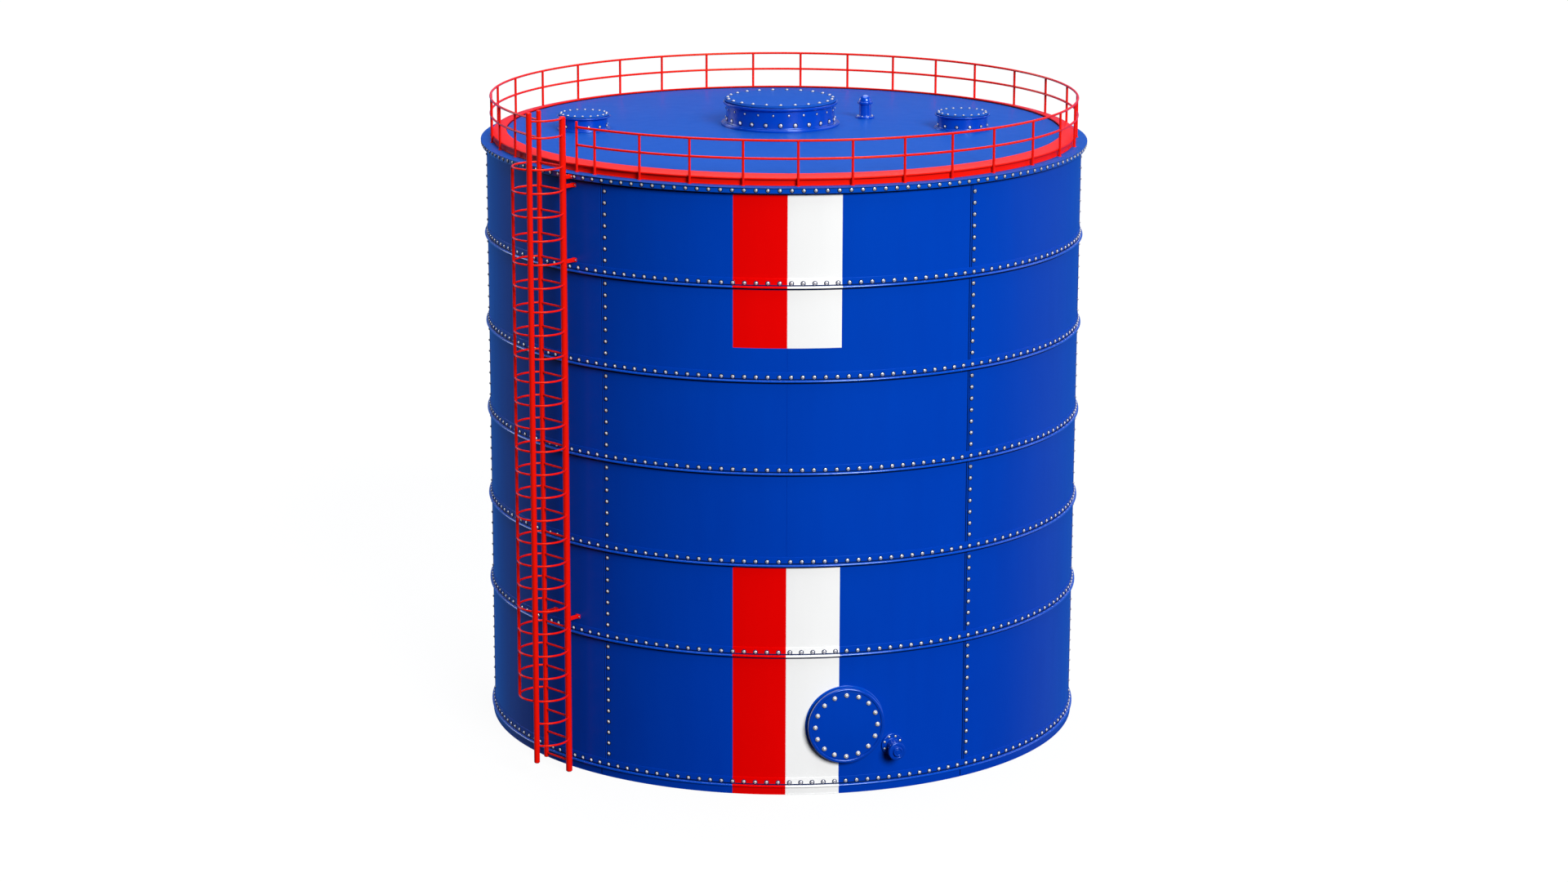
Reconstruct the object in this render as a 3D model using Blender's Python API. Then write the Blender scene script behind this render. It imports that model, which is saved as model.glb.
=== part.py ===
"""Bolted steel storage tank with a shallow cone roof, hatches, a handrail and a caged ladder.

Metres, with Z up. The tank's axis is the Z axis and its bottom plate lies on Z = 0.
An azimuth is an angle in degrees round that axis, from -Y (the front) towards +X.
"""

import math

import bmesh
import bpy
from mathutils import Matrix, Vector

# Clearance between pieces that touch, and the distance under which points are merged
GAP = 0.0003
MERGE = 0.00001
SHARP_ANGLE = 35.0

# Length of a helper shape past the plate that it cuts
CUT_PAST = 0.2

# Shell: ten sheets round and six courses high
SHELL_RADIUS = 4.27
SHELL_PLATE = 0.006
FACETS = 40
BOTTOM_PLATE = 0.012
BOTTOM_RADIUS = 4.296
BAND_TOP = 0.107
BAND_PLATE = 0.020
FIRST_RING = 1.984
COURSE = 1.287
COURSES = 6
JOINT_RISE = 0.045

# Girth angles round the shell: an upright leg with the bolts and a leg that stands out
ANGLE_OUT = 0.045
ANGLE_UP = 0.130
ANGLE_NOSE = 0.026
ANGLE_LEG = 0.012

# Top angle, whose upright leg hangs outside the shell, and the roof that lips over it
TOP_ANGLE_OUT = 0.065
TOP_ANGLE_UP = 0.073
ROOF_PLATE = 0.006
ROOF_RADIUS = 4.3533
ROOF_HOLE = 0.70

# Deck of the roof inside the kerb: a shallow cone on a low step
DECK_RADIUS = 3.980
DECK_EDGE = 8.608
DECK_RISE = 0.080

# Kerb round the roof, whose flat top falls outwards
KERB_HEIGHT = 0.105
KERB_FALL = 0.034
KERB_PLATE = 0.022
KERB_INNER = 3.985
KERB_WEB_SET_BACK = 0.030
KERB_WEB = 0.008

# Handrail
RAIL_RADIUS = 4.206
RAIL_TUBE = 0.0165
POST_TUBE = 0.0175
TOP_RAIL = 9.1115
MID_RAIL = 8.8675
TUBE_SIDES = 5
# Smallest cosine by which a bar is widened at a bend
MITRE_LIMIT = 0.5
# Post beside the ladder's opening, which stands higher than the rail
OPENING_RIGHT_POST = -41.9
OPENING_POST_TOP = 9.190
# Name, azimuth of the first post, angle of one bay and number of bays
RAIL_SECTIONS = (
    ("front_left", -37.4, 10.0, 4),
    ("front_right", 2.6, 10.0, 4),
    ("right_front", 42.6, 11.75, 4),
    ("right_back", 89.6, 11.75, 4),
    ("back_right", 136.6, 10.0, 4),
    ("back_left", 176.6, 10.0, 4),
    ("left_back", 216.6, 11.25, 4),
    ("left_front", 261.6, 9.0, 5),
)

# Ladder and cage, on a circle that the climber stands in
LADDER_AZIMUTH = -44.9
STILE_DISTANCE = 4.480
HALF_WIDTH = 0.240
CAGE_RADIUS = 0.340
HOOP_STEPS = 10
ARC_STEPS = 4
BAR_SIDES = 4
RIGHT_STILE = 0.045
RIGHT_STILE_SIDES = 10
LEFT_STILE = 0.034
LEFT_STILE_SIDES = 8
FRONT_BAR = 0.040
FRONT_BAR_SIDES = 6
SIDE_BAR = 0.022
RUNG = 0.015
HOOP = 0.016
RUNG_PITCH = 0.325
FIRST_RUNG = 0.160
RUNGS = 27
FIRST_HOOP = 3
RIGHT_STILE_TOP = 9.287
LEFT_STILE_TOP = 9.320
LEFT_STILE_FOOT = 0.100
FRONT_BAR_TOP = 9.390
FRONT_BAR_FOOT = 0.235
SIDE_BAR_TOP = 8.610
SIDE_BAR_END = 0.020
FRONT_BAR_ANGLE = 30.0
SIDE_BAR_ANGLE = -45.0
# Half hoops above the roof, from the front bar to the right stile
UPPER_ARCS = (9.040, 9.270)

# Ladder brackets: three to the right stile and one to the left on the shell, one on the top angle
RIGHT_BRACKETS = (2.230, 7.295, 8.330)
TOP_BRACKET = 8.4555
LEFT_BRACKET = 2.230
BRACKET_SIZE = 0.060
BRACKET_FOOT = 0.020
BRACKET_FOOT_SHARE = 1.5
BRACKET_ARM_SHARE = 0.5

# Roof hatches: name, place in plan, radius of the cover, neck and foot, total height, sides
HATCHES = (
    ("centre_hatch", -0.055, 0.0, 0.804, 0.781, 0.850, 0.380, 36),
    ("left_hatch", -2.866, -0.255, 0.366, 0.339, 0.378, 0.224, 24),
    ("right_hatch", 2.556, -0.113, 0.378, 0.362, 0.406, 0.236, 24),
)
HATCH_WALL = 0.010
FLANGE_SHARE = 0.11
FOOT_SHARE = 0.6
FOOT_SLOPE = 0.020
FLANGE_STEP = 0.020
COVER_CHAMFER = 0.010

# Round pipes through the roof and the shell
PIPE_WALL = 0.008
PIPE_SIDES = 16

# Roof vent
VENT_PLACE = (1.177, 0.645)
VENT_PIPE = 0.086
VENT_CAP = 0.110
VENT_FOOT = 0.135
VENT_HEIGHT = 0.340
VENT_SEAT_SHARE = 0.62
VENT_FLANGE = 0.035
VENT_RIM = 0.035
VENT_DOME_SHARE = 0.86
VENT_DOME_TURNS = (0.0, 30.0, 60.0, 90.0)

# Shell manhole
MANHOLE_AZIMUTH = 11.8
MANHOLE_HEIGHT = 0.990
MANHOLE_NECK = 0.440
MANHOLE_RIM = 0.538
MANHOLE_COVER = 0.490
MANHOLE_PAD = 0.558
MANHOLE_STAND_OFF = 0.085
MANHOLE_SIDES = 32
MANHOLE_WALL = 0.012
MANHOLE_FLANGE = 0.022
MANHOLE_LID = 0.025
MANHOLE_LIP = 0.012
PAD_PLATE = 0.010
PAD_MARGIN = 0.1

# Drain nozzle, whose pipe drops a little between its two flanges
NOZZLE_AZIMUTH = 20.9
NOZZLE_HEIGHT = 0.642
NOZZLE_DROP = 0.045
NOZZLE_PIPE = 0.083
NOZZLE_FOOT = 0.156
NOZZLE_CAP = 0.124
NOZZLE_LENGTH = 0.245
NOZZLE_STAND_OFF = 0.0015
NOZZLE_FLANGE = 0.024
NOZZLE_NECK_FLANGE = 0.022
NOZZLE_BLIND = 0.055
NOZZLE_DISC = 0.066
NOZZLE_DISC_FOOT = 0.030

# Length of a neck or pipe on the inside of the shell
NECK_INSIDE = 0.030

# Paints: colour, roughness and metallic value
BLUE = ("blue_paint", (0.004, 0.040, 0.470), 0.32, 0.0)
RED = ("red_paint", (0.780, 0.008, 0.006), 0.35, 0.0)

TOP_RING = FIRST_RING + (COURSES - 1) * COURSE
TOP_ANGLE_RADIUS = SHELL_RADIUS + GAP + TOP_ANGLE_OUT
ROOF_EDGE = TOP_RING + TOP_ANGLE_UP + GAP + ROOF_PLATE
KERB_NOSE = RAIL_RADIUS - POST_TUBE - GAP
CAGE_SET_OUT = math.sqrt(CAGE_RADIUS ** 2 - HALF_WIDTH ** 2)
STILE_PLANE = math.sqrt(STILE_DISTANCE ** 2 - HALF_WIDTH ** 2)


def polar(radius, azimuth, height=0.0):
    """Return the point at a distance from the axis, an azimuth and a height."""
    angle = math.radians(azimuth)
    return Vector((radius * math.sin(angle), -radius * math.cos(angle), height))


def roof_height(radius):
    """Return the height of the deck's upper face at a distance from the axis."""
    return DECK_EDGE + DECK_RISE * (1.0 - radius / DECK_RADIUS)


def ring_heights():
    """Return the height of the underside of each girth angle, from the lowest up."""
    return [FIRST_RING + COURSE * step for step in range(COURSES - 1)]


def cage_point(angle, height=0.0):
    """Return the point of the cage's circle at an angle from straight out of the shell."""
    outward = polar(1.0, LADDER_AZIMUTH)
    aside = polar(1.0, LADDER_AZIMUTH + 90.0)
    centre = outward * (STILE_PLANE + CAGE_SET_OUT)
    turn = math.radians(angle)
    point = centre + CAGE_RADIUS * (math.cos(turn) * outward + math.sin(turn) * aside)
    return Vector((point.x, point.y, height))


def stile_angle():
    """Return the angle on the cage's circle at which the stiles stand."""
    return 180.0 - math.degrees(math.asin(HALF_WIDTH / CAGE_RADIUS))


def paint(name, colour, roughness, metallic):
    """Return the material of that name, and make it when it is new."""
    material = bpy.data.materials.get(name)
    if material is None:
        material = bpy.data.materials.new(name)
        material.use_nodes = True
        shader = material.node_tree.nodes["Principled BSDF"]
        shader.inputs["Base Color"].default_value = (*colour, 1.0)
        shader.inputs["Roughness"].default_value = roughness
        shader.inputs["Metallic"].default_value = metallic
    return material


def add_piece(name, form, finish):
    """Turn a bmesh into a named object with its faces out and its own material."""
    bmesh.ops.remove_doubles(form, verts=form.verts, dist=MERGE)
    bmesh.ops.recalc_face_normals(form, faces=form.faces)
    mesh = bpy.data.meshes.new(name)
    form.to_mesh(mesh)
    form.free()
    mesh.materials.append(paint(f"{name}_{finish[0]}", *finish[1:]))
    mesh.shade_smooth()
    mesh.set_sharp_from_angle(angle=math.radians(SHARP_ANGLE))
    piece = bpy.data.objects.new(name, mesh)
    bpy.context.scene.collection.objects.link(piece)
    return piece


def hide_tool(piece):
    """Mark an object as a helper shape that isn't part of the tank."""
    piece.hide_render = True
    piece.display_type = "WIRE"
    return piece


def boolean(piece, tool, operation):
    """Join a helper shape to a piece, or cut it out of the piece."""
    modifier = piece.modifiers.new(operation.lower(), "BOOLEAN")
    modifier.operation = operation
    modifier.object = hide_tool(tool)
    modifier.solver = "EXACT"
    return piece


def turned(profile, sides, centre=(0.0, 0.0)):
    """Spin a closed outline of (radius, height) points once round a vertical axis."""
    form = bmesh.new()
    corners = [form.verts.new(polar(radius, 0.0, height)) for radius, height in profile]
    for near, far in zip(corners, corners[1:] + corners[:1]):
        if near.co.y != 0.0 or far.co.y != 0.0:
            form.edges.new((near, far))
    bmesh.ops.spin(form, geom=list(form.edges), cent=(0.0, 0.0, 0.0), axis=(0.0, 0.0, 1.0),
                   angle=2.0 * math.pi, steps=sides, use_merge=True)
    bmesh.ops.remove_doubles(form, verts=form.verts, dist=MERGE)
    bmesh.ops.translate(form, verts=form.verts, vec=(centre[0], centre[1], 0.0))
    return form


def rod(form, start, end, radius, sides):
    """Add a straight round bar between two points to a bmesh."""
    along = end - start
    turn = along.to_track_quat("Z", "Y").to_matrix().to_4x4()
    place = Matrix.Translation((start + end) / 2.0) @ turn
    bmesh.ops.create_cone(form, cap_ends=True, segments=sides, radius1=radius,
                          radius2=radius, depth=along.length, matrix=place)
    return form


def bent_bar(form, points, radius, sides, up=Vector((0.0, 0.0, 1.0))):
    """Add a bar of few sides that follows points in a level plane to a bmesh."""
    loops = []
    for index, point in enumerate(points):
        before = points[max(index - 1, 0)]
        after = points[min(index + 1, len(points) - 1)]
        along = (after - before).normalized()
        side = along.cross(up)
        stretch = 1.0
        if 0 < index < len(points) - 1:
            stretch = 1.0 / max(MITRE_LIMIT, along.dot((after - point).normalized()))
        loop = []
        for corner in range(sides):
            angle = 2.0 * math.pi * (corner + 0.5) / sides
            offset = math.cos(angle) * stretch * side + math.sin(angle) * up
            loop.append(form.verts.new(point + radius * offset))
        loops.append(loop)
    for near, far in zip(loops, loops[1:]):
        for corner in range(sides):
            beside = (corner + 1) % sides
            form.faces.new((near[corner], near[beside], far[beside], far[corner]))
    form.faces.new(reversed(loops[0]))
    form.faces.new(loops[-1])
    return form


def upright(plan, foot, top, radius, sides):
    """Return a bmesh that holds one vertical round bar."""
    return rod(bmesh.new(), plan + Vector((0, 0, foot)), plan + Vector((0, 0, top)), radius, sides)


def radial_frame(azimuth, height):
    """Return the matrix that turns a vertical axis to point straight out of the shell."""
    outward = polar(1.0, azimuth)
    turn = outward.to_track_quat("Z", "Y").to_matrix().to_4x4()
    return Matrix.Translation((0.0, 0.0, height)) @ turn


def add_bottom():
    """Make the bottom plate and the band that closes its edge round the shell."""
    outer = BOTTOM_RADIUS
    plate = turned([(0.0, 0.0), (outer, 0.0), (outer, BOTTOM_PLATE), (0.0, BOTTOM_PLATE)], FACETS)
    add_piece("bottom_plate", plate, BLUE)
    inner = SHELL_RADIUS + GAP
    foot = BOTTOM_PLATE + GAP
    outline = [(inner, foot), (inner + BAND_PLATE, foot), (inner + BAND_PLATE, BAND_TOP),
               (inner, BAND_TOP)]
    add_piece("base_band", turned(outline, FACETS), BLUE)


def angle_outline(foot):
    """Return the outline of a girth angle whose outstanding leg is at the bottom."""
    inner = SHELL_RADIUS + GAP
    return [(inner, foot), (inner + ANGLE_OUT, foot), (inner + ANGLE_OUT, foot + ANGLE_NOSE),
            (inner + ANGLE_LEG, foot + ANGLE_NOSE), (inner + ANGLE_LEG, foot + ANGLE_UP),
            (inner, foot + ANGLE_UP)]


def add_girth_angles():
    """Make the base angle and the angles over the joints between the courses."""
    add_piece("base_angle", turned(angle_outline(BAND_TOP + GAP), FACETS), BLUE)
    for number, height in enumerate(ring_heights(), 1):
        add_piece(f"girth_angle_{number}", turned(angle_outline(height), FACETS), BLUE)


def add_shell():
    """Make the six courses of the shell, with the holes that the lowest one has."""
    joints = [BOTTOM_PLATE] + [height + JOINT_RISE for height in ring_heights()]
    joints.append(TOP_RING + TOP_ANGLE_UP)
    inner = SHELL_RADIUS - SHELL_PLATE
    courses = []
    for number, (low, high) in enumerate(zip(joints, joints[1:]), 1):
        foot = low + GAP
        outline = [(inner, foot), (SHELL_RADIUS, foot), (SHELL_RADIUS, high), (inner, high)]
        courses.append(add_piece(f"shell_course_{number}", turned(outline, FACETS), BLUE))
    hole = radial_cylinder(MANHOLE_AZIMUTH, MANHOLE_HEIGHT, MANHOLE_NECK + GAP,
                           MANHOLE_SIDES)
    boolean(courses[0], add_piece("manhole_hole_tool", hole, BLUE), "DIFFERENCE")
    hole = radial_cylinder(NOZZLE_AZIMUTH, NOZZLE_HEIGHT, NOZZLE_PIPE + GAP, PIPE_SIDES)
    boolean(courses[0], add_piece("nozzle_hole_tool", hole, BLUE), "DIFFERENCE")


def radial_cylinder(azimuth, height, radius, sides):
    """Return a cylinder that crosses the shell's wall straight out at an azimuth."""
    near = SHELL_RADIUS - CUT_PAST
    far = SHELL_RADIUS + CUT_PAST
    form = turned([(0.0, near), (radius, near), (radius, far), (0.0, far)], sides)
    bmesh.ops.transform(form, verts=form.verts, matrix=radial_frame(azimuth, height))
    return form


def add_roof():
    """Make the top angle, and the roof with its edge, its raised deck and the hatch holes."""
    inner = SHELL_RADIUS + GAP
    top = TOP_RING + TOP_ANGLE_UP
    outer = TOP_ANGLE_RADIUS
    outline = [(inner, top - ANGLE_LEG), (outer - ANGLE_LEG, top - ANGLE_LEG),
               (outer - ANGLE_LEG, TOP_RING), (outer, TOP_RING), (outer, top), (inner, top)]
    add_piece("top_angle", turned(outline, FACETS), BLUE)
    apex = roof_height(ROOF_HOLE)
    under = [(ROOF_HOLE, apex), (DECK_RADIUS - ROOF_PLATE, DECK_EDGE),
             (DECK_RADIUS - ROOF_PLATE, ROOF_EDGE), (ROOF_RADIUS, ROOF_EDGE)]
    outline = [(radius, height - ROOF_PLATE) for radius, height in under]
    outline += [(ROOF_RADIUS, ROOF_EDGE), (DECK_RADIUS, ROOF_EDGE), (DECK_RADIUS, DECK_EDGE),
                (ROOF_HOLE, apex)]
    roof = add_piece("roof_plate", turned(outline, FACETS), BLUE)
    cut_top = DECK_EDGE + DECK_RISE + CUT_PAST
    for name, x, y, _, neck, _, _, sides in HATCHES[1:]:
        hole = turned(column_outline(neck - HATCH_WALL, TOP_RING, cut_top), sides, (x, y))
        boolean(roof, add_piece(f"{name}_hole_tool", hole, BLUE), "DIFFERENCE")
    pipe = column_outline(VENT_PIPE - PIPE_WALL, TOP_RING, cut_top)
    hole = turned(pipe, PIPE_SIDES, VENT_PLACE)
    boolean(roof, add_piece("vent_hole_tool", hole, BLUE), "DIFFERENCE")


def column_outline(radius, foot, top):
    """Return the outline of a solid round column."""
    return [(0.0, foot), (radius, foot), (radius, top), (0.0, top)]


def seat_on_roof(form, foot):
    """Move the lowest points of a bmesh onto the slope of the roof."""
    for vertex in form.verts:
        if vertex.co.z < foot + MERGE:
            vertex.co.z = roof_height(math.hypot(vertex.co.x, vertex.co.y)) + GAP
    return form


def add_hatches():
    """Make the three roof hatches, each a flanged neck with a bolted cover."""
    for name, x, y, cover, neck, foot, height, sides in HATCHES:
        base = roof_height(max(math.hypot(x, y), foot))
        top = base + height
        flange = FLANGE_SHARE * height
        inner = neck - HATCH_WALL
        seam = top - flange
        low = base + FOOT_SHARE * flange + FOOT_SLOPE
        lip = cover + FLANGE_STEP
        outline = [(inner, base), (foot, base), (foot, low), (neck, low), (neck, seam - flange),
                   (lip, seam - flange), (lip, seam - GAP), (inner, seam - GAP)]
        form = seat_on_roof(turned(outline, sides, (x, y)), base)
        add_piece(f"{name}_neck", form, BLUE)
        rim = [(0.0, seam), (cover, seam), (cover, top - COVER_CHAMFER),
               (cover - COVER_CHAMFER, top), (0.0, top)]
        add_piece(f"{name}_cover", turned(rim, sides, (x, y)), BLUE)


def add_vent():
    """Make the vent pipe with its foot, and the domed cap on top."""
    x, y = VENT_PLACE
    base = roof_height(math.hypot(x, y))
    seat = base + VENT_SEAT_SHARE * VENT_HEIGHT
    inner = VENT_PIPE - PIPE_WALL
    flange = base + VENT_FLANGE
    outline = [(inner, base), (VENT_FOOT, base), (VENT_FOOT, flange), (VENT_PIPE, flange),
               (VENT_PIPE, seat), (inner, seat)]
    form = seat_on_roof(turned(outline, PIPE_SIDES, VENT_PLACE), base)
    add_piece("vent_pipe", form, BLUE)
    low = seat + GAP
    rim = low + VENT_RIM
    dome = [(VENT_CAP * VENT_DOME_SHARE * math.cos(math.radians(turn)),
             rim + (VENT_HEIGHT + base - rim) * math.sin(math.radians(turn)))
            for turn in VENT_DOME_TURNS]
    outline = [(0.0, low), (VENT_CAP, low), (VENT_CAP, rim)] + dome
    add_piece("vent_cap", turned(outline, PIPE_SIDES, VENT_PLACE), BLUE)


def add_kerb():
    """Make the kerb: a wide top that falls outwards and overhangs an upright web."""
    foot = ROOF_EDGE + GAP
    top = ROOF_EDGE + KERB_HEIGHT
    web = KERB_NOSE - KERB_WEB_SET_BACK
    back = web - KERB_WEB
    slope = KERB_FALL / (KERB_NOSE - KERB_INNER)
    outline = [(back, foot), (web, foot)]
    outline += [(radius, top - KERB_PLATE + slope * (KERB_NOSE - radius))
                for radius in (web, KERB_NOSE)]
    outline += [(KERB_NOSE, top), (KERB_INNER, top + KERB_FALL)]
    outline += [(radius, top - KERB_PLATE + slope * (KERB_NOSE - radius))
                for radius in (KERB_INNER, back)]
    add_piece("roof_kerb", turned(outline, FACETS), RED)


def rail_points(start, end, height, steps):
    """Return points along an arc of the handrail."""
    return [polar(RAIL_RADIUS, start + (end - start) * step / steps, height)
            for step in range(steps + 1)]


def add_handrail():
    """Make the handrail in sections, each with its posts and two bent rails."""
    clearance = math.degrees((POST_TUBE + GAP) / RAIL_RADIUS)
    last = RAIL_SECTIONS[-1][0]
    for name, first, bay, bays in RAIL_SECTIONS:
        azimuths = [first + bay * step for step in range(bays)]
        start = first
        end = first + bay * bays - clearance
        if first == RAIL_SECTIONS[0][1]:
            azimuths.insert(0, OPENING_RIGHT_POST)
            start = OPENING_RIGHT_POST
        if name == last:
            azimuths.append(first + bay * bays)
            end = first + bay * bays
        rails = bmesh.new()
        for height in (TOP_RAIL, MID_RAIL):
            bent_bar(rails, rail_points(start, end, height, 2 * bays), RAIL_TUBE, TUBE_SIDES)
        posts = bmesh.new()
        for azimuth in azimuths:
            top = OPENING_POST_TOP if azimuth == OPENING_RIGHT_POST else TOP_RAIL
            foot = polar(RAIL_RADIUS, azimuth, ROOF_EDGE + GAP)
            rod(posts, foot, polar(RAIL_RADIUS, azimuth, top), POST_TUBE, TUBE_SIDES)
        section = add_piece(f"handrail_{name}", rails, RED)
        boolean(section, add_piece(f"handrail_{name}_posts_tool", posts, RED), "UNION")


def add_ladder():
    """Make the two stiles and the rungs that join them."""
    right = cage_point(stile_angle())
    left = cage_point(-stile_angle())
    stiles = upright(right, GAP, RIGHT_STILE_TOP, RIGHT_STILE, RIGHT_STILE_SIDES)
    rod(stiles, left + Vector((0, 0, LEFT_STILE_FOOT)), left + Vector((0, 0, LEFT_STILE_TOP)),
        LEFT_STILE, LEFT_STILE_SIDES)
    rungs = bmesh.new()
    for number in range(RUNGS):
        height = Vector((0, 0, FIRST_RUNG + RUNG_PITCH * number))
        rod(rungs, left + height, right + height, RUNG, TUBE_SIDES)
    ladder = add_piece("ladder", stiles, RED)
    boolean(ladder, add_piece("ladder_rungs_tool", rungs, RED), "UNION")


def hoop_points(first, last, height, steps):
    """Return points along a hoop of the cage between two angles."""
    return [cage_point(first + (last - first) * step / steps, height)
            for step in range(steps + 1)]


def add_cage():
    """Make the cage: hoops round the climber on a front bar and a side bar."""
    reach = stile_angle()
    right_end = reach - math.degrees((RIGHT_STILE + GAP) / CAGE_RADIUS)
    left_end = math.degrees((LEFT_STILE + GAP) / CAGE_RADIUS) - reach
    hoops = bmesh.new()
    for number in range(1, RUNGS):
        height = FIRST_RUNG + RUNG_PITCH * number
        if number < FIRST_HOOP:
            bent_bar(hoops, hoop_points(FRONT_BAR_ANGLE, right_end, height, ARC_STEPS), HOOP,
                     BAR_SIDES)
        else:
            bent_bar(hoops, hoop_points(left_end, right_end, height, HOOP_STEPS), HOOP,
                     BAR_SIDES)
    for height in UPPER_ARCS:
        bent_bar(hoops, hoop_points(FRONT_BAR_ANGLE, right_end, height, ARC_STEPS), HOOP,
                 BAR_SIDES)
    front = cage_point(FRONT_BAR_ANGLE)
    side = cage_point(SIDE_BAR_ANGLE)
    side_foot = FIRST_RUNG + RUNG_PITCH * FIRST_HOOP - SIDE_BAR_END
    bars = upright(front, FRONT_BAR_FOOT, FRONT_BAR_TOP, FRONT_BAR, FRONT_BAR_SIDES)
    rod(bars, side + Vector((0, 0, side_foot)), side + Vector((0, 0, SIDE_BAR_TOP)), SIDE_BAR,
        BAR_SIDES)
    cage = add_piece("ladder_cage", bars, RED)
    boolean(cage, add_piece("ladder_cage_hoops_tool", hoops, RED), "UNION")


def add_bracket(name, angle, stile, wall, height):
    """Make one bracket: a foot plate on a facet of the wall and an arm out to a stile."""
    plan = cage_point(angle)
    facet = 360.0 / FACETS
    azimuth = facet * (math.floor(math.degrees(math.atan2(plan.x, -plan.y)) / facet) + 0.5)
    outward = polar(1.0, azimuth)
    aside = polar(1.0, azimuth + 90.0)
    near = wall * math.cos(math.radians(facet / 2.0)) + GAP
    reach = plan.dot(outward) - stile - GAP
    middle = plan.dot(aside)
    half_foot = BRACKET_FOOT_SHARE * BRACKET_SIZE / 2.0
    half_arm = BRACKET_ARM_SHARE * BRACKET_SIZE / 2.0
    outline = [(near, -half_foot), (near + BRACKET_FOOT, -half_foot),
               (near + BRACKET_FOOT, -half_arm), (reach, -half_arm), (reach, half_arm),
               (near + BRACKET_FOOT, half_arm), (near + BRACKET_FOOT, half_foot),
               (near, half_foot)]
    form = bmesh.new()
    foot = Vector((0, 0, height - BRACKET_SIZE / 2.0))
    corners = [form.verts.new(outward * out + aside * (middle + off) + foot)
               for out, off in outline]
    face = form.faces.new(corners)
    raised = bmesh.ops.extrude_face_region(form, geom=[face])
    tops = [item for item in raised["geom"] if isinstance(item, bmesh.types.BMVert)]
    bmesh.ops.translate(form, verts=tops, vec=(0.0, 0.0, BRACKET_SIZE))
    add_piece(name, form, RED)


def add_brackets():
    """Make the brackets between the shell or the top angle and the ladder's stiles."""
    places = [(SHELL_RADIUS, height) for height in RIGHT_BRACKETS]
    places.append((TOP_ANGLE_RADIUS, TOP_BRACKET))
    for number, (wall, height) in enumerate(places, 1):
        add_bracket(f"ladder_bracket_right_{number}", stile_angle(), RIGHT_STILE, wall, height)
    add_bracket("ladder_bracket_left_1", -stile_angle(), LEFT_STILE, SHELL_RADIUS, LEFT_BRACKET)


def add_manhole():
    """Make the shell manhole: pad, flanged neck with a raised rim, and flat cover."""
    frame = radial_frame(MANHOLE_AZIMUTH, MANHOLE_HEIGHT)
    face = SHELL_RADIUS + MANHOLE_STAND_OFF
    inner = SHELL_RADIUS + GAP
    low = MANHOLE_HEIGHT - MANHOLE_PAD - PAD_MARGIN
    high = MANHOLE_HEIGHT + MANHOLE_PAD + PAD_MARGIN
    outer = inner + PAD_PLATE
    band = [(inner, low), (outer, low), (outer, high), (inner, high)]
    pad = add_piece("manhole_pad", turned(band, FACETS), BLUE)
    disc = radial_cylinder(MANHOLE_AZIMUTH, MANHOLE_HEIGHT, MANHOLE_PAD, MANHOLE_SIDES)
    boolean(pad, add_piece("manhole_pad_tool", disc, BLUE), "INTERSECT")
    hole = radial_cylinder(MANHOLE_AZIMUTH, MANHOLE_HEIGHT, MANHOLE_NECK + GAP, MANHOLE_SIDES)
    boolean(pad, add_piece("manhole_pad_hole_tool", hole, BLUE), "DIFFERENCE")
    seat = face - MANHOLE_LID
    back = seat - MANHOLE_FLANGE
    wall = MANHOLE_NECK - MANHOLE_WALL
    root = SHELL_RADIUS - NECK_INSIDE
    bed = MANHOLE_COVER + GAP
    outline = [(wall, root), (MANHOLE_NECK, root), (MANHOLE_NECK, back), (MANHOLE_RIM, back),
               (MANHOLE_RIM, face + MANHOLE_LIP / 2.0),
               (MANHOLE_RIM - MANHOLE_LIP, face + MANHOLE_LIP), (bed, face + MANHOLE_LIP),
               (bed, seat), (wall, seat)]
    neck = turned(outline, MANHOLE_SIDES)
    bmesh.ops.transform(neck, verts=neck.verts, matrix=frame)
    add_piece("manhole_neck", neck, BLUE)
    cover = turned(column_outline(MANHOLE_COVER, seat + GAP, face), MANHOLE_SIDES)
    bmesh.ops.transform(cover, verts=cover.verts, matrix=frame)
    add_piece("manhole_cover", cover, BLUE)


def add_nozzle():
    """Make the drain nozzle: a flanged pipe through the wall and its blind end."""
    frame = radial_frame(NOZZLE_AZIMUTH, NOZZLE_HEIGHT)
    foot = SHELL_RADIUS + NOZZLE_STAND_OFF
    end = SHELL_RADIUS + NOZZLE_LENGTH
    seat = end - NOZZLE_BLIND
    back = seat - NOZZLE_NECK_FLANGE
    wall = NOZZLE_PIPE - PIPE_WALL
    root = SHELL_RADIUS - NECK_INSIDE
    collar = foot + NOZZLE_FLANGE
    outline = [(wall, root), (NOZZLE_PIPE, root), (NOZZLE_PIPE, foot), (NOZZLE_FOOT, foot),
               (NOZZLE_FOOT, collar), (NOZZLE_PIPE, collar), (NOZZLE_PIPE, back),
               (NOZZLE_CAP, back), (NOZZLE_CAP, seat), (wall, seat), (wall, back), (wall, collar)]
    pipe = turned(outline, PIPE_SIDES)
    dropped = [vertex for vertex in pipe.verts if vertex.co.z > back - MERGE]
    bmesh.ops.transform(pipe, verts=pipe.verts, matrix=frame)
    bmesh.ops.translate(pipe, verts=dropped, vec=(0.0, 0.0, -NOZZLE_DROP))
    add_piece("nozzle_pipe", pipe, BLUE)
    low = seat + GAP
    rim = [(0.0, low), (NOZZLE_CAP, low), (NOZZLE_CAP, low + NOZZLE_FLANGE),
           (NOZZLE_DISC, low + NOZZLE_DISC_FOOT), (NOZZLE_DISC, end), (0.0, end)]
    cap = turned(rim, PIPE_SIDES)
    bmesh.ops.transform(cap, verts=cap.verts, matrix=frame)
    bmesh.ops.translate(cap, verts=cap.verts, vec=(0.0, 0.0, -NOZZLE_DROP))
    add_piece("nozzle_cap", cap, BLUE)


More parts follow.
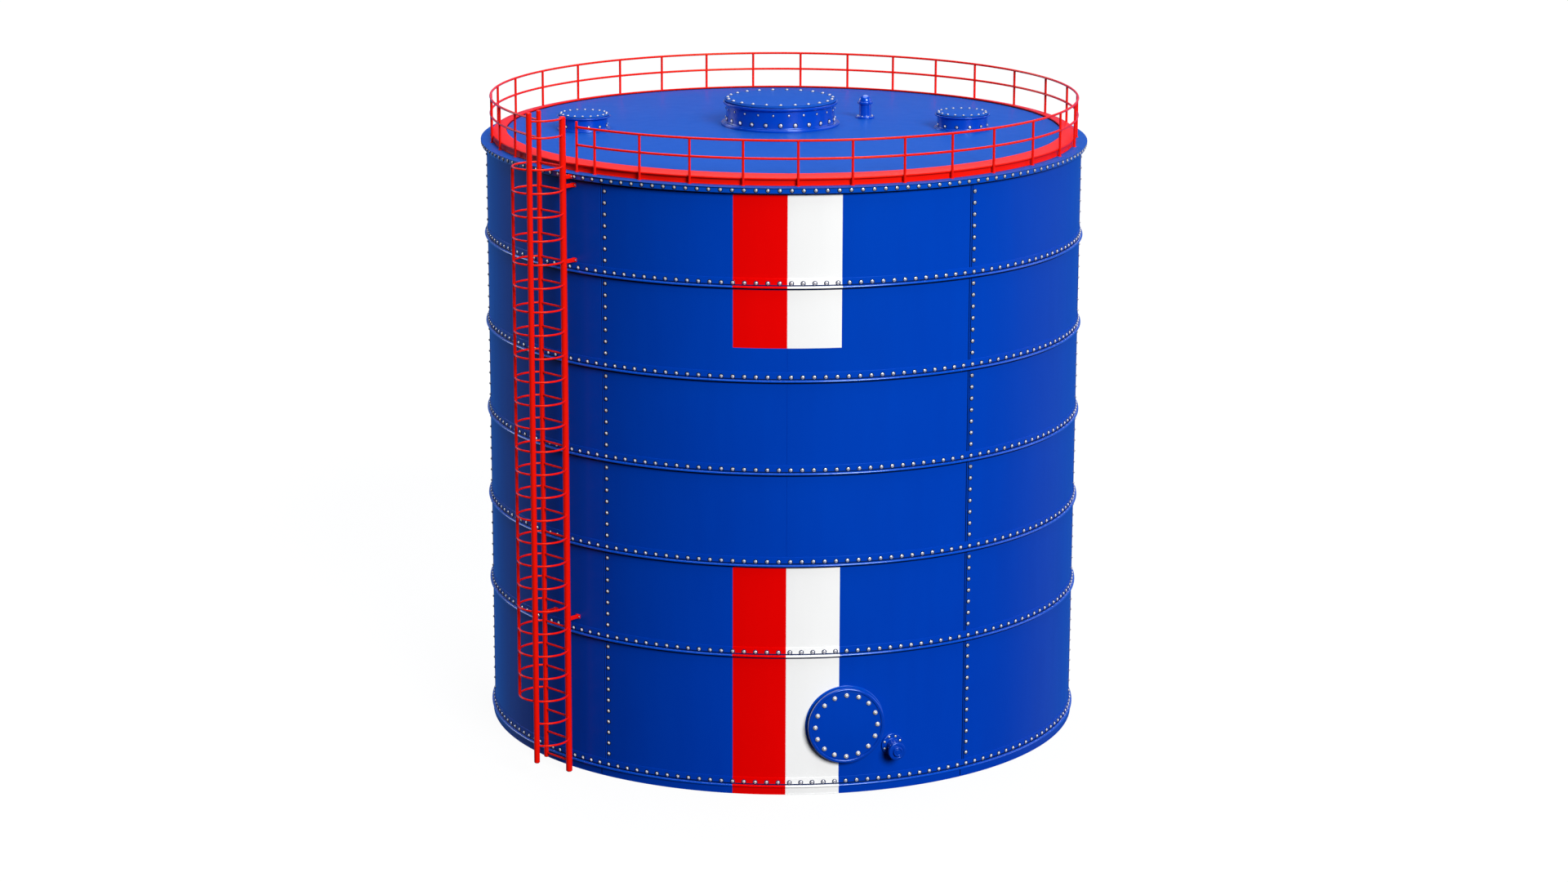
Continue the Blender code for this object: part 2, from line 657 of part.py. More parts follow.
def clear_scene():
    """Remove whatever the file holds already."""
    for item in list(bpy.data.objects):
        bpy.data.objects.remove(item, do_unlink=True)


def build_tank():
    """Make every piece of the tank from the ground up."""
    clear_scene()
    add_bottom()
    add_shell()
    add_girth_angles()
    add_roof()
    add_hatches()
    add_vent()
    add_kerb()
    add_handrail()
    add_ladder()
    add_cage()
    add_brackets()
    add_manhole()
    add_nozzle()


build_tank()
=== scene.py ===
import math

import bmesh
import bpy
import numpy as np
from mathutils import Matrix, Vector


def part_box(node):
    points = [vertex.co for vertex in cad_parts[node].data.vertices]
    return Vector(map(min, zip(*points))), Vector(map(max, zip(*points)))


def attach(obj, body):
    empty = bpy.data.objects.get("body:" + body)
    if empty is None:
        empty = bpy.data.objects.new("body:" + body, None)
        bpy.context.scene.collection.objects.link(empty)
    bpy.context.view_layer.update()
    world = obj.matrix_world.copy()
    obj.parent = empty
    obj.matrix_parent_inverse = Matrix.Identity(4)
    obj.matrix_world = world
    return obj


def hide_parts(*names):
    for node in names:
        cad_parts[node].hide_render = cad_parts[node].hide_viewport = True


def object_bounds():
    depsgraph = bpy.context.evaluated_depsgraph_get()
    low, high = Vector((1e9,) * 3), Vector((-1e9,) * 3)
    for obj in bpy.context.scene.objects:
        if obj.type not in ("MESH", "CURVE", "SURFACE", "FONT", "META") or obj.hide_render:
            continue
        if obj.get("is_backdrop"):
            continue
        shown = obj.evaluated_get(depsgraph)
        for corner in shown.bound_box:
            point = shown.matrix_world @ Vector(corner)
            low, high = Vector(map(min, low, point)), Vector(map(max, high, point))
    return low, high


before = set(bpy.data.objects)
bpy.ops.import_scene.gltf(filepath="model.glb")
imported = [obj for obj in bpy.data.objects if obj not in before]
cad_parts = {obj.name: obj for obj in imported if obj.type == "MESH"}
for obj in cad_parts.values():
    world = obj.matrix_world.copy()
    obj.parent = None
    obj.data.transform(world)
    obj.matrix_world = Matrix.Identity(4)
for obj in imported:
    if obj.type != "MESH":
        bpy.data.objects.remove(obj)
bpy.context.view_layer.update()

scene = bpy.context.scene

# Camera. The photograph looks down on the tank from in front, through a long lens held a
# little askew, and the curves of the tank's rings give its distance, height and tilt.
CAMERA_PLACE = (0.016, -52.25, 16.93)
CAMERA_TILT = 13.93
CAMERA_ROLL = 0.22
LENS = 84.11
SENSOR_WIDTH = 36.0
VIEW_REACH = 1000.0

lens = bpy.data.cameras.new("camera")
lens.sensor_width = SENSOR_WIDTH
lens.lens = LENS
lens.clip_end = VIEW_REACH
camera = bpy.data.objects.new("camera", lens)
camera.location = CAMERA_PLACE
aim = (Matrix.Rotation(math.radians(90.0 - CAMERA_TILT), 3, "X")
       @ Matrix.Rotation(math.radians(CAMERA_ROLL), 3, "Z"))
camera.rotation_euler = aim.to_euler()
scene.collection.objects.link(camera)
scene.camera = camera
scene.view_settings.view_transform = "Standard"

# Studio. A broad key light from the right of the front, weaker ones from both sides and the
# back, soft light from overhead and behind, and a plain white floor that only shows.
FLOOR_RADIUS = 400.0
FLOOR_LEVEL = -0.002
FLOOR_COLOUR = (0.80, 0.80, 0.80, 1.0)
FLOOR_SHARE = 0.07
WHITE = (1.0, 1.0, 1.0, 1.0)
# Name, azimuth, elevation, strength and softness of each light
LIGHTS = (
    ("key_light", 29.0, 28.0, 3.95, 26.0),
    ("side_light", 100.0, 15.0, 0.40, 40.0),
    ("rim_light", -120.0, 12.0, 0.60, 30.0),
    ("back_light", 170.0, 55.0, 1.35, 50.0),
)
SKY_FRONT = 0.02
SKY_OVERHEAD = 3.6
SKY_BEHIND = 0.62
SKY_PLAIN = (0.85, 0.93, 1.0, 1.0)
SKY_BLUE = (0.06, 0.30, 1.0, 1.0)
# Ends of the slopes on which the sky changes: rises of the overhead light, of the horizon and
# of the top of the light behind, and how far back that light starts and is full
OVERHEAD = (0.86, 0.93)
HORIZON = (-0.06, 0.12)
BEHIND_TOP = (0.45, 0.80)
BEHIND_DEPTH = (0.1, 0.8)
HORIZON_LOSS = -0.4
# Faces that meet at a larger angle than this have a sharp edge
SHARP_ANGLE = 35.0


class Signal:
    """One output of a node. Sums written with signals add Math nodes to their node tree."""

    def __init__(self, tree, socket):
        self.tree = tree
        self.socket = socket

    def node(self, kind, settings=(), sockets=(), output=0):
        """Add a node, then give it its settings and its sockets' values or links."""
        made = self.tree.nodes.new(kind)
        for name, value in dict(settings).items():
            setattr(made, name, value)
        for name, value in dict(sockets).items():
            if isinstance(value, Signal):
                self.tree.links.new(value.socket, made.inputs[name])
            else:
                made.inputs[name].default_value = value
        return Signal(self.tree, made.outputs[output] if len(made.outputs) else None)

    def beside(self, output):
        """Return another output of the same node."""
        return Signal(self.tree, self.socket.node.outputs[output])

    def maths(self, operation, *others):
        """Add a Math node of that operation on this signal and the others."""
        return self.node("ShaderNodeMath", {"operation": operation},
                         dict(enumerate((self, *others))))

    def mix(self, low, high):
        """Blend from one colour to another as this signal goes from 0 to 1."""
        return self.node("ShaderNodeMix", {"data_type": "RGBA"}, {0: self, 6: low, 7: high}, 2)

    def clipped(self, low, high):
        """Return 0 below one value of this signal, 1 above another, and a slope between."""
        return self.node("ShaderNodeMapRange", {}, {0: self, 1: low, 2: high})

    def __add__(self, other):
        return self.maths("ADD", other)

    def __rsub__(self, other):
        return self * -1.0 + other

    def __mul__(self, other):
        return self.maths("MULTIPLY", other)

    __radd__ = __add__
    __rmul__ = __mul__


def start(holder, kind, output):
    """Empty the node tree of a material or world and return the first signal in it."""
    holder.use_nodes = True
    holder.node_tree.nodes.clear()
    first = holder.node_tree.nodes.new(kind)
    return Signal(holder.node_tree, first.outputs[output])


def grid_faces(rows, columns, close_rows=False, close_columns=False):
    """Join the points of a grid to their neighbours in fours; a closed way joins its ends."""
    row, column = np.meshgrid(np.arange(rows - (not close_rows)),
                              np.arange(columns - (not close_columns)), indexing="ij")
    below = (row + 1) % rows
    beside = (column + 1) % columns
    corners = (row * columns + column, row * columns + beside,
               below * columns + beside, below * columns + column)
    return np.stack(corners, -1).reshape(-1, 4)


def add_object(name, points, faces):
    """Make an object: doubles are merged, which closes poles, and faces point outwards."""
    mesh = bpy.data.meshes.new(name)
    mesh.from_pydata(points.reshape(-1, 3), [], faces)
    form = bmesh.new()
    form.from_mesh(mesh)
    bmesh.ops.remove_doubles(form, verts=form.verts, dist=1e-6)
    bmesh.ops.recalc_face_normals(form, faces=form.faces)
    form.to_mesh(mesh)
    form.free()
    mesh.shade_smooth()
    mesh.set_sharp_from_angle(angle=math.radians(SHARP_ANGLE))
    made = bpy.data.objects.new(name, mesh)
    scene.collection.objects.link(made)
    return made


def disc(radius, height, rings=9):
    """Return a level disc: radius r times (sin a, -cos a) on rings that run out to the edge."""
    ring = np.linspace(0.0, radius, rings)[:, None]
    angle = np.radians(np.arange(0.0, 360.0, 5.0))
    points = np.stack(np.broadcast_arrays(ring * np.sin(angle), -ring * np.cos(angle), height), -1)
    return points, grid_faces(rings, len(angle), close_columns=True)


def add_light(name, azimuth, elevation, strength, softness):
    """Add a distant light that shines from an azimuth and an elevation."""
    data = bpy.data.lights.new(name, "SUN")
    data.energy = strength
    data.angle = math.radians(softness)
    lamp = bpy.data.objects.new(name, data)
    across = math.radians(azimuth)
    up = math.radians(elevation)
    towards = Vector((math.sin(across) * math.cos(up), -math.cos(across) * math.cos(up),
                      math.sin(up)))
    lamp.rotation_mode = "QUATERNION"
    lamp.rotation_quaternion = towards.to_track_quat("Z", "Y")
    scene.collection.objects.link(lamp)


def light_the_sky():
    """Light the tank from right overhead and from low behind; the sky itself shows white."""
    world = bpy.data.worlds.new("sky")
    scene.world = world
    way = start(world, "ShaderNodeTexCoord", "Generated")
    back = way.node("ShaderNodeSeparateXYZ", {}, {0: way}, 1)
    rise = back.beside(2)
    overhead = rise.clipped(*OVERHEAD) * SKY_OVERHEAD
    above = rise.clipped(*HORIZON)
    behind = (back.clipped(*BEHIND_DEPTH) * (1.0 - rise.clipped(*BEHIND_TOP))
              * (above * HORIZON_LOSS + 1.0))
    seen = way.node("ShaderNodeLightPath")
    strength = (overhead + behind * SKY_BEHIND + SKY_FRONT) * (1.0 - seen) + seen
    colour = seen.mix(behind.mix(SKY_PLAIN, SKY_BLUE), WHITE)
    glow = way.node("ShaderNodeBackground", {}, {"Color": colour, "Strength": strength})
    way.node("ShaderNodeOutputWorld", {}, {"Surface": glow})


for light in LIGHTS:
    add_light(*light)
light_the_sky()
floor = add_object("floor", *disc(FLOOR_RADIUS, FLOOR_LEVEL))
floor_paint = bpy.data.materials.new("floor_paint")
place = start(floor_paint, "ShaderNodeTexCoord", "Object")
matt = place.node("ShaderNodeBsdfDiffuse", {}, {"Color": FLOOR_COLOUR})
glow = place.node("ShaderNodeEmission", {}, {"Color": WHITE, "Strength": 1.0})
both = place.node("ShaderNodeMixShader", {}, {0: FLOOR_SHARE, 1: glow, 2: matt})
place.node("ShaderNodeOutputMaterial", {}, {"Surface": both})
floor_paint.cycles.emission_sampling = "NONE"
floor.data.materials.append(floor_paint)
floor.visible_diffuse = False
floor.visible_glossy = False
floor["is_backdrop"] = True

# Bottom plate and base band. A flat steel plate closes the tank below, and a plain band
# of the same steel, in lengths, is welded round the foot of the shell. Both are enamelled.
SHELL_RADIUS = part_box("shell_course_2")[1].x
METRES_A_DEGREE = SHELL_RADIUS * math.pi / 180.0
# Azimuths of the upright seams, of which the first is the middle of the front
SEAMS = np.array([0.7, 36.5, 82.0, 131.0, 180.5, 230.0, 276.0, 324.8])
# Azimuths nearer to the front than this have the butt joint, the others have laps
FRONT = 15.0
BAND_JOINT = (-0.067, -0.065, -0.055, -0.053)
JOINT_DEPTH = 0.006
# Gap that meshes of touching pieces keep
TOUCH = 0.0003
# Azimuths of the left edge of the red stripe, of the line between both, and of the right edge
STRIPES = (-9.1, 0.7, 10.6)
# Heights of the dark bands of painted shade above each nose and below each angle, and how far what
# lies on the wall stands out of it
SHADE_ABOVE_NOSE = 0.017
SHADE_BELOW_ANGLE = 0.030
ON_WALL_REACH = 0.010
# Height at which the stripes begin, so that the plate's underside stays blue
UNDERSIDE = 0.0002
BLUE_DARK = (0.000, 0.032, 0.345, 1.0)
BLUE_LIGHT = (0.000, 0.050, 0.450, 1.0)
BLUE_TINT = (0.10, 0.40, 1.0, 1.0)
RED_DARK = (0.660, 0.000, 0.000, 1.0)
RED_LIGHT = (0.800, 0.001, 0.001, 1.0)
RED_TINT = (1.0, 0.08, 0.06, 1.0)
PALE_DARK = (0.800, 0.800, 0.800, 1.0)
PALE_LIGHT = (0.900, 0.900, 0.895, 1.0)
# Near-black blue of the painted shade in the lap grooves, in the band's joints, under each angle and
# above each nose
PAINTED_SHADE_DARK = (0.000, 0.003, 0.040, 1.0)
PAINTED_SHADE_LIGHT = (0.000, 0.006, 0.070, 1.0)
# Scales of the noises in a skin and in enamel, and how much each adds
FINE_SCALE = 70.0
BROAD_SCALE = 0.9
BROAD_SHARE = 8.0
SKIN_STRENGTH = 0.6
COAT_ROUGHNESS = 0.15
SLOW_SCALE = 0.7
STREAK_SCALE = 5.0
STREAK_STRETCH = (1.0, 1.0, 0.12)
CLOUD_SHARES = (0.6, 0.4)
CLOUD_RANGE = (0.3, 0.7)
CLOUD_TONE = 0.3
RISE_TONE = 0.7
WALL_HEIGHT = 8.4
CLOUD_ROUGHNESS = -0.06


def rounded(corners, radii, steps=5):
    """Round the corners of a closed outline of (radius, height) points.

    Near a corner C the outline is (1-t)^2 A + 2t(1-t) C + t^2 B, where A and B lie a
    rounding radius before and after the corner and t runs from 0 to 1.
    """
    corners = np.array(corners, float)
    reach = np.broadcast_to(np.asarray(radii, float), len(corners))[:, None]
    before = np.roll(corners, 1, 0) - corners
    after = np.roll(corners, -1, 0) - corners
    first = corners + reach * before / np.linalg.norm(before, axis=1, keepdims=True)
    last = corners + reach * after / np.linalg.norm(after, axis=1, keepdims=True)
    t = np.linspace(0.0, 1.0, steps)[None, :, None]
    arcs = ((1 - t) ** 2 * first[:, None] + 2 * t * (1 - t) * corners[:, None]
            + t ** 2 * last[:, None])
    return arcs.reshape(-1, 2)


def turned(outline, degrees, relief=0.0, centre=(0.0, 0.0)):
    """Carry an outline of (radius, height) points round an upright axis.

    At an azimuth a the point is radius (sin a, -cos a), and relief is added to the radius.
    """
    angle = np.radians(degrees)
    radius = outline[:, 0, None] + relief
    height = outline[:, 1, None]
    points = np.stack(np.broadcast_arrays(centre[0] + radius * np.sin(angle),
                                          centre[1] - radius * np.cos(angle), height), -1)
    return points, grid_faces(*points.shape[:2], True, True)


def ring_degrees(offsets=()):
    """Return azimuths all round, a degree apart, with more at the edges of the stripes and
    at offsets in metres from the seams."""
    extra = (SEAMS[:, None] + np.array(offsets)[None, :] / METRES_A_DEGREE).ravel()
    return np.unique(np.round(np.concatenate([np.arange(360.0), extra, STRIPES]) % 360.0, 4))


def from_seam(degrees):
    """Return the distance in metres along the wall from the nearest seam at each azimuth."""
    away = (degrees[:, None] - SEAMS + 180.0) % 360.0 - 180.0
    nearest = np.abs(away).argmin(1)[:, None]
    return np.take_along_axis(away, nearest, 1)[:, 0] * METRES_A_DEGREE


def finish(material, place, colour, rough, tint, sheen=0.35, coat=0.0, metal=0.0, peel=0.00035):
    """Close a paint: a shader with its colour, its roughness and a skin of fine bumps."""
    fine = place.node("ShaderNodeTexNoise", {}, {"Vector": place, "Scale": FINE_SCALE,
                                                 "Detail": 2.0})
    broad = place.node("ShaderNodeTexNoise", {}, {"Vector": place, "Scale": BROAD_SCALE,
                                                  "Detail": 1.0})
    skin = place.node("ShaderNodeBump", {}, {"Height": fine * peel + broad * (peel * BROAD_SHARE),
                                             "Distance": 1.0, "Strength": SKIN_STRENGTH})
    shader = place.node("ShaderNodeBsdfPrincipled", {}, {
        "Base Color": colour, "Roughness": rough, "Normal": skin, "Metallic": metal,
        "Specular IOR Level": sheen, "Specular Tint": tint, "Coat Weight": coat,
        "Coat Roughness": COAT_ROUGHNESS})
    place.node("ShaderNodeOutputMaterial", {}, {"Surface": shader})
    return material


def enamel(name, dark, light, tint, rough=0.34, sheen=0.35, coat=0.0):
    """Make gloss enamel, a little darker near the ground, with a slow, faint unevenness
    that also runs down the wall in streaks."""
    material = bpy.data.materials.new(name)
    place = start(material, "ShaderNodeTexCoord", "Object")
    stretched = place.node("ShaderNodeMapping", {}, {"Vector": place, "Scale": STREAK_STRETCH})
    slow = place.node("ShaderNodeTexNoise", {}, {"Vector": place, "Scale": SLOW_SCALE,
                                                 "Detail": 4.0})
    streaks = place.node("ShaderNodeTexNoise", {}, {"Vector": stretched, "Scale": STREAK_SCALE,
                                                    "Detail": 3.0})
    cloud = (slow * CLOUD_SHARES[0] + streaks * CLOUD_SHARES[1]).clipped(*CLOUD_RANGE)
    rise = place.node("ShaderNodeSeparateXYZ", {}, {0: place}, 2)
    tone = cloud * CLOUD_TONE + rise.clipped(0.0, WALL_HEIGHT) * RISE_TONE
    return finish(material, place, tone.mix(dark, light), cloud * CLOUD_ROUGHNESS + rough, tint, sheen,
                  coat)


def add_piece(name, shape, paint, slot, *replaced):
    """Make a piece of the tank from its points and faces, with its paint and its place."""
    made = add_object(name, *shape)
    made.data.materials.append(paint)
    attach(made, "root")
    if replaced:
        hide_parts(*replaced)
    return made


def add_stripes(piece, lines=(), above=0.0, shade_band=(0.0, 0.0), on_wall_paint=None):
    """Paint the front's stripes and dark lines of painted shade on a piece, face by face.

    A face takes the red or the white enamel where its middle lies between two azimuths,
    atan2(x, -y), and above a height, and the near-black painted shade where it lies between
    two distances from a seam, in the grooves, or on the wall between two heights, under an
    angle or above its nose. The rest of what lies on the wall may have a paint of its own.
    """
    for paint in (stripe_red, stripe_white, painted_shade):
        piece.data.materials.append(paint)
    middles = np.empty(3 * len(piece.data.polygons))
    piece.data.polygons.foreach_get("center", middles)
    x, y, z = middles.reshape(-1, 3).T
    azimuth = np.degrees(np.arctan2(x, -y))
    left, middle, right = STRIPES
    index = np.select([(azimuth > left) & (azimuth < middle) & (z > above),
                       (azimuth > middle) & (azimuth < right) & (z > above)], [1, 2], 0)
    away = from_seam(azimuth)
    for low, high in lines:
        index[(away > low) & (away < high) & (np.abs(azimuth) > FRONT)] = 3
    on_the_wall = np.hypot(x, y) < SHELL_RADIUS + ON_WALL_REACH
    if on_wall_paint is not None:
        piece.data.materials.append(on_wall_paint)
        index[on_the_wall & (index == 0)] = 4
    index[(z > shade_band[0]) & (z < shade_band[1]) & on_the_wall] = 3
    piece.data.polygons.foreach_set("material_index", index.astype(np.int32))


sheet_blue = enamel("sheet_blue", BLUE_DARK, BLUE_LIGHT, BLUE_TINT)
stripe_red = enamel("stripe_red", RED_DARK, RED_LIGHT, RED_TINT)
stripe_white = enamel("stripe_white", PALE_DARK, PALE_LIGHT, WHITE)
# Near-black painted shade for grooves, joints and the wall under the angles and above their noses
painted_shade = enamel("painted_shade", PAINTED_SHADE_DARK, PAINTED_SHADE_LIGHT, BLUE_TINT, rough=0.6)

plate_low, plate_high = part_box("bottom_plate")
plate_radius = plate_high.x
plate_outline = rounded([(0.0, plate_low.z), (plate_radius, plate_low.z),
                         (plate_radius, plate_high.z), (0.0, plate_high.z)], (0, 0.002, 0.003, 0))
add_stripes(add_piece("bottom", turned(plate_outline, ring_degrees()), sheet_blue, "blue_paint",
                      "bottom_plate"), above=plate_low.z + UNDERSIDE)

band_low, band_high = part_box("base_band")
band_outline = rounded([(SHELL_RADIUS, band_low.z), (band_high.x, band_low.z),
                        (band_high.x, band_high.z), (SHELL_RADIUS, band_high.z)],
                       (0, 0.002, 0.003, 0))
band_degrees = ring_degrees(BAND_JOINT)
band_relief = (band_outline[:, 0] > SHELL_RADIUS + 0.001)[:, None] * np.interp(
    from_seam(band_degrees), BAND_JOINT, (0.0, -JOINT_DEPTH, -JOINT_DEPTH, 0.0))
# The joints between the band's lengths take painted shade in their grooves
add_stripes(add_piece("foot_band", turned(band_outline, band_degrees, band_relief), sheet_blue,
                      "blue_paint", "base_band"), [BAND_JOINT[::3]])

# Shell. Six courses of eight rolled steel sheets, which lap at upright seams: a raised blue
# ridge between two grooves marks each lap, with painted shade in the grooves, and a dark band
# of painted shade runs on the wall under each angle.
# The middle seam of the front is a butt joint.
LAP_OFFSETS = (-0.023, -0.021, -0.011, -0.009, -0.001, 0.007, 0.009, 0.019, 0.021)
LAP_DEPTHS = (0.000, -0.005, -0.005, 0.001, 0.003, 0.001, -0.005, -0.005, 0.000)
# Distances from a seam between which the faces of the lap's grooves take painted shade
LAP_GAPS = ((-0.022, -0.010), (0.008, 0.020))
BUTT_OFFSETS = (-0.005, -0.003, 0.003, 0.005)
BUTT_DEPTHS = (0.000, -0.004, -0.004, 0.000)
COURSES = 6
INSIDE = 0.014
# The stripes rest in the middle courses of the front, up to a level in the fifth course
BLANK_COURSES = (3, 4, 5)
BLANK_TOP = 6.307

lap_degrees = ring_degrees(LAP_OFFSETS + BUTT_OFFSETS)
lap_away = from_seam(lap_degrees)
lap_relief = np.where(np.cos(np.radians(lap_degrees)) > math.cos(math.radians(FRONT)),
                      np.interp(lap_away, BUTT_OFFSETS, BUTT_DEPTHS),
                      np.interp(lap_away, LAP_OFFSETS, LAP_DEPTHS))
for number in range(1, COURSES + 1):
    node = f"shell_course_{number}"
    low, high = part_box(node)
    level = BLANK_TOP if number == BLANK_COURSES[-1] else (low.z + high.z) / 2.0
    angle_above = f"girth_angle_{number}" if number < COURSES else "top_angle"
    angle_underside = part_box(angle_above)[0].z
    wall = np.array([(SHELL_RADIUS, low.z), (SHELL_RADIUS, level),
                     (SHELL_RADIUS, angle_underside - SHADE_BELOW_ANGLE), (SHELL_RADIUS, angle_underside),
                     (SHELL_RADIUS, high.z), (SHELL_RADIUS - INSIDE, high.z),
                     (SHELL_RADIUS - INSIDE, low.z)])
    step = (wall[:, 0] == SHELL_RADIUS)[:, None] * lap_relief
    sheets = add_piece(f"sheets_{number}", turned(wall, lap_degrees, step), sheet_blue,
                       "blue_paint", node)
    # Painted shade in the lap grooves and on the wall just under the angle above
    add_stripes(sheets, LAP_GAPS, above=BLANK_TOP if number in BLANK_COURSES else 0.0,
                shade_band=(angle_underside - SHADE_BELOW_ANGLE, angle_underside))

# Girth angles. Rolled steel angles, bolted over the joints between the courses and at the
# foot, with a rounded nose below and a thin upright leg that carries the bolts.
LEG = 0.006
NOSE_HEIGHT = 0.026
NOSE_ROUNDS = (0.006, 0.019)
# A lighter blue than the sheets', a painted highlight on the noses, the top angle and the manhole's
# pad; the legs keep the sheets' blue
HIGHLIGHT_BLUE_DARK = (0.000, 0.050, 0.420, 1.0)
HIGHLIGHT_BLUE_LIGHT = (0.001, 0.072, 0.540, 1.0)
BLANK_ANGLES = ("girth_angle_2", "girth_angle_3", "girth_angle_4")

highlight_blue = enamel("highlight_blue", HIGHLIGHT_BLUE_DARK, HIGHLIGHT_BLUE_LIGHT, BLUE_TINT, rough=0.30, sheen=0.5,
                    coat=0.8)
angle_nodes = ["base_angle"] + [f"girth_angle_{number}" for number in range(1, COURSES)]
for node in angle_nodes:
    low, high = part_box(node)
    nose = low.z + NOSE_HEIGHT
    outline = rounded([(SHELL_RADIUS, low.z), (high.x, low.z), (high.x, nose),
                       (SHELL_RADIUS + LEG, nose), (SHELL_RADIUS + LEG, nose + SHADE_ABOVE_NOSE),
                       (SHELL_RADIUS + LEG, high.z), (SHELL_RADIUS, high.z)],
                      (0, *NOSE_ROUNDS, 0.004, 0, 0.003, 0))
    bar = add_piece(f"{node}_bar", turned(outline, ring_degrees()), highlight_blue, "blue_paint", node)
    # A band of painted shade on the leg above the nose, and the sheets' blue on the rest of the leg
    add_stripes(bar, above=BLANK_TOP if node in BLANK_ANGLES else 0.0,
                shade_band=(nose - 0.001, nose + SHADE_ABOVE_NOSE), on_wall_paint=sheet_blue)

# Top angle and roof. The angle's upright leg hangs round the head of the shell, and the
# steel roof lips over it: a level edge, a low step, and a shallow cone inside the kerb.
ANGLE_DEPTH = 0.012
ROOF_HOLE = 0.700
ROOF_PLATE = 0.006
DECK_RADIUS = 3.980
DECK_EDGE = 8.608
DECK_RISE = 0.080
ROOF_DARK = (0.003, 0.052, 0.320, 1.0)
ROOF_LIGHT = (0.008, 0.070, 0.375, 1.0)

roof_blue = enamel("roof_blue", ROOF_DARK, ROOF_LIGHT, BLUE_TINT, rough=0.40, sheen=0.03)
low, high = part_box("top_angle")
outer = high.x
top = high.z
outline = rounded([(SHELL_RADIUS, top - ANGLE_DEPTH), (outer - ANGLE_DEPTH, top - ANGLE_DEPTH),
                   (outer - ANGLE_DEPTH, low.z), (outer, low.z), (outer, top),
                   (SHELL_RADIUS, top)], (0, 0.004, 0.003, 0.006, 0.004, 0))
# The top angle takes the lighter blue of the painted highlight
add_piece("top_angle_bar", turned(outline, ring_degrees()), highlight_blue, "blue_paint", "top_angle")

roof_low, roof_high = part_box("roof_plate")
ROOF_RADIUS = roof_high.x
ROOF_EDGE = roof_low.z + ROOF_PLATE


def deck_height(radius):
    """Return the deck's height: a straight slope from its edge up to the tank's axis."""
    return DECK_EDGE + DECK_RISE * (1.0 - radius / DECK_RADIUS)


outline = rounded([(ROOF_HOLE, deck_height(ROOF_HOLE) - ROOF_PLATE),
                   (DECK_RADIUS - ROOF_PLATE, DECK_EDGE - ROOF_PLATE),
                   (DECK_RADIUS - ROOF_PLATE, ROOF_EDGE - ROOF_PLATE),
                   (ROOF_RADIUS, ROOF_EDGE - ROOF_PLATE), (ROOF_RADIUS, ROOF_EDGE),
                   (DECK_RADIUS, ROOF_EDGE), (DECK_RADIUS, DECK_EDGE),
                   (ROOF_HOLE, deck_height(ROOF_HOLE))],
                  (0, 0.003, 0.003, 0.002, 0.002, 0.003, 0.006, 0))
add_piece("roof", turned(outline, ring_degrees()), roof_blue, "blue_paint", "roof_plate")

# Bolts of the shell. Bright zinc hexagon bolts with washers on sealing discs, whose
# near-black also stands in as painted shadow round each bolt, in a row on every angle and
# down each lapped seam.
# Each bolt's discs and head, from the plate out: sides and (radius, rise) points
SEAL_SHADOW_DISC = (10, ((0.035, 0.000), (0.035, 0.002), (0.026, 0.004)))
WASHER = (10, ((0.0230, 0.002), (0.0230, 0.005), (0.0190, 0.007)))
HEAD = (6, ((0.0170, 0.006), (0.0160, 0.011), (0.0075, 0.0185)))
BOLT_PITCH = 2.13
BOLT_OFFSET = 0.055
ROW_RISE = 0.063
ROW_IN_TOP_ANGLE = 0.040
SEAM_BOLTS = 7
LOWEST_SEAM_BOLTS = 11
ZINC_DARK = (0.55, 0.55, 0.60, 1.0)
ZINC_LIGHT = (0.95, 0.92, 0.96, 1.0)
# Near-black of the sealing discs, which also stands in as painted shadow round each bolt
SEAL_SHADOW_DARK = (0.000, 0.004, 0.030, 1.0)
SEAL_SHADOW_LIGHT = (0.001, 0.009, 0.060, 1.0)


def joined(shapes):
    """Put several shapes, each an array of points and one of faces, into one."""
    starts = np.cumsum([0] + [len(points.reshape(-1, 3)) for points, _ in shapes])
    return (np.concatenate([points.reshape(-1, 3) for points, _ in shapes]),
            np.concatenate([faces + first for (_, faces), first in zip(shapes, starts)]))


def stub(sides, outline, size=1.0):
    """Turn an outline of (radius, rise) points round the Z axis and close both its ends."""
    closed = np.array([(0.0, outline[0][1]), *outline, (0.0, outline[-1][1])]) * size
    angle = 2.0 * math.pi * np.arange(sides) / sides
    points = np.stack(np.broadcast_arrays(closed[:, 0, None] * np.sin(angle),
                                          -closed[:, 0, None] * np.cos(angle),
                                          closed[:, 1, None]), -1)
    return points, grid_faces(len(closed), sides, close_columns=True)


def copies(shape, places, frames):
    """Repeat a shape: at each place its X, Y and Z lie along the three rows of a frame."""
    points, faces = shape
    local = points.reshape(-1, 3)
    spread = np.einsum("kj,nji->nki", local, frames) + places[:, None, :]
    shift = (np.arange(len(places)) * len(local))[:, None, None]
    return spread.reshape(-1, 3), (faces[None] + shift).reshape(-1, 4)


def on_wall(degrees, radius, heights):
    """Return places on a round wall and frames whose Z points straight out of it."""
    degrees, heights = np.broadcast_arrays(degrees, heights)
    angle = np.radians(degrees.ravel())
    zero = np.zeros_like(angle)
    outward = np.stack((np.sin(angle), -np.cos(angle), zero), -1)
    places = outward * radius + np.stack((zero, zero, heights.ravel()), -1)
    along = np.stack((np.cos(angle), np.sin(angle), zero), -1)
    upward = np.stack((zero, zero, zero + 1.0), -1)
    return places, np.stack((along, upward, outward), 1)


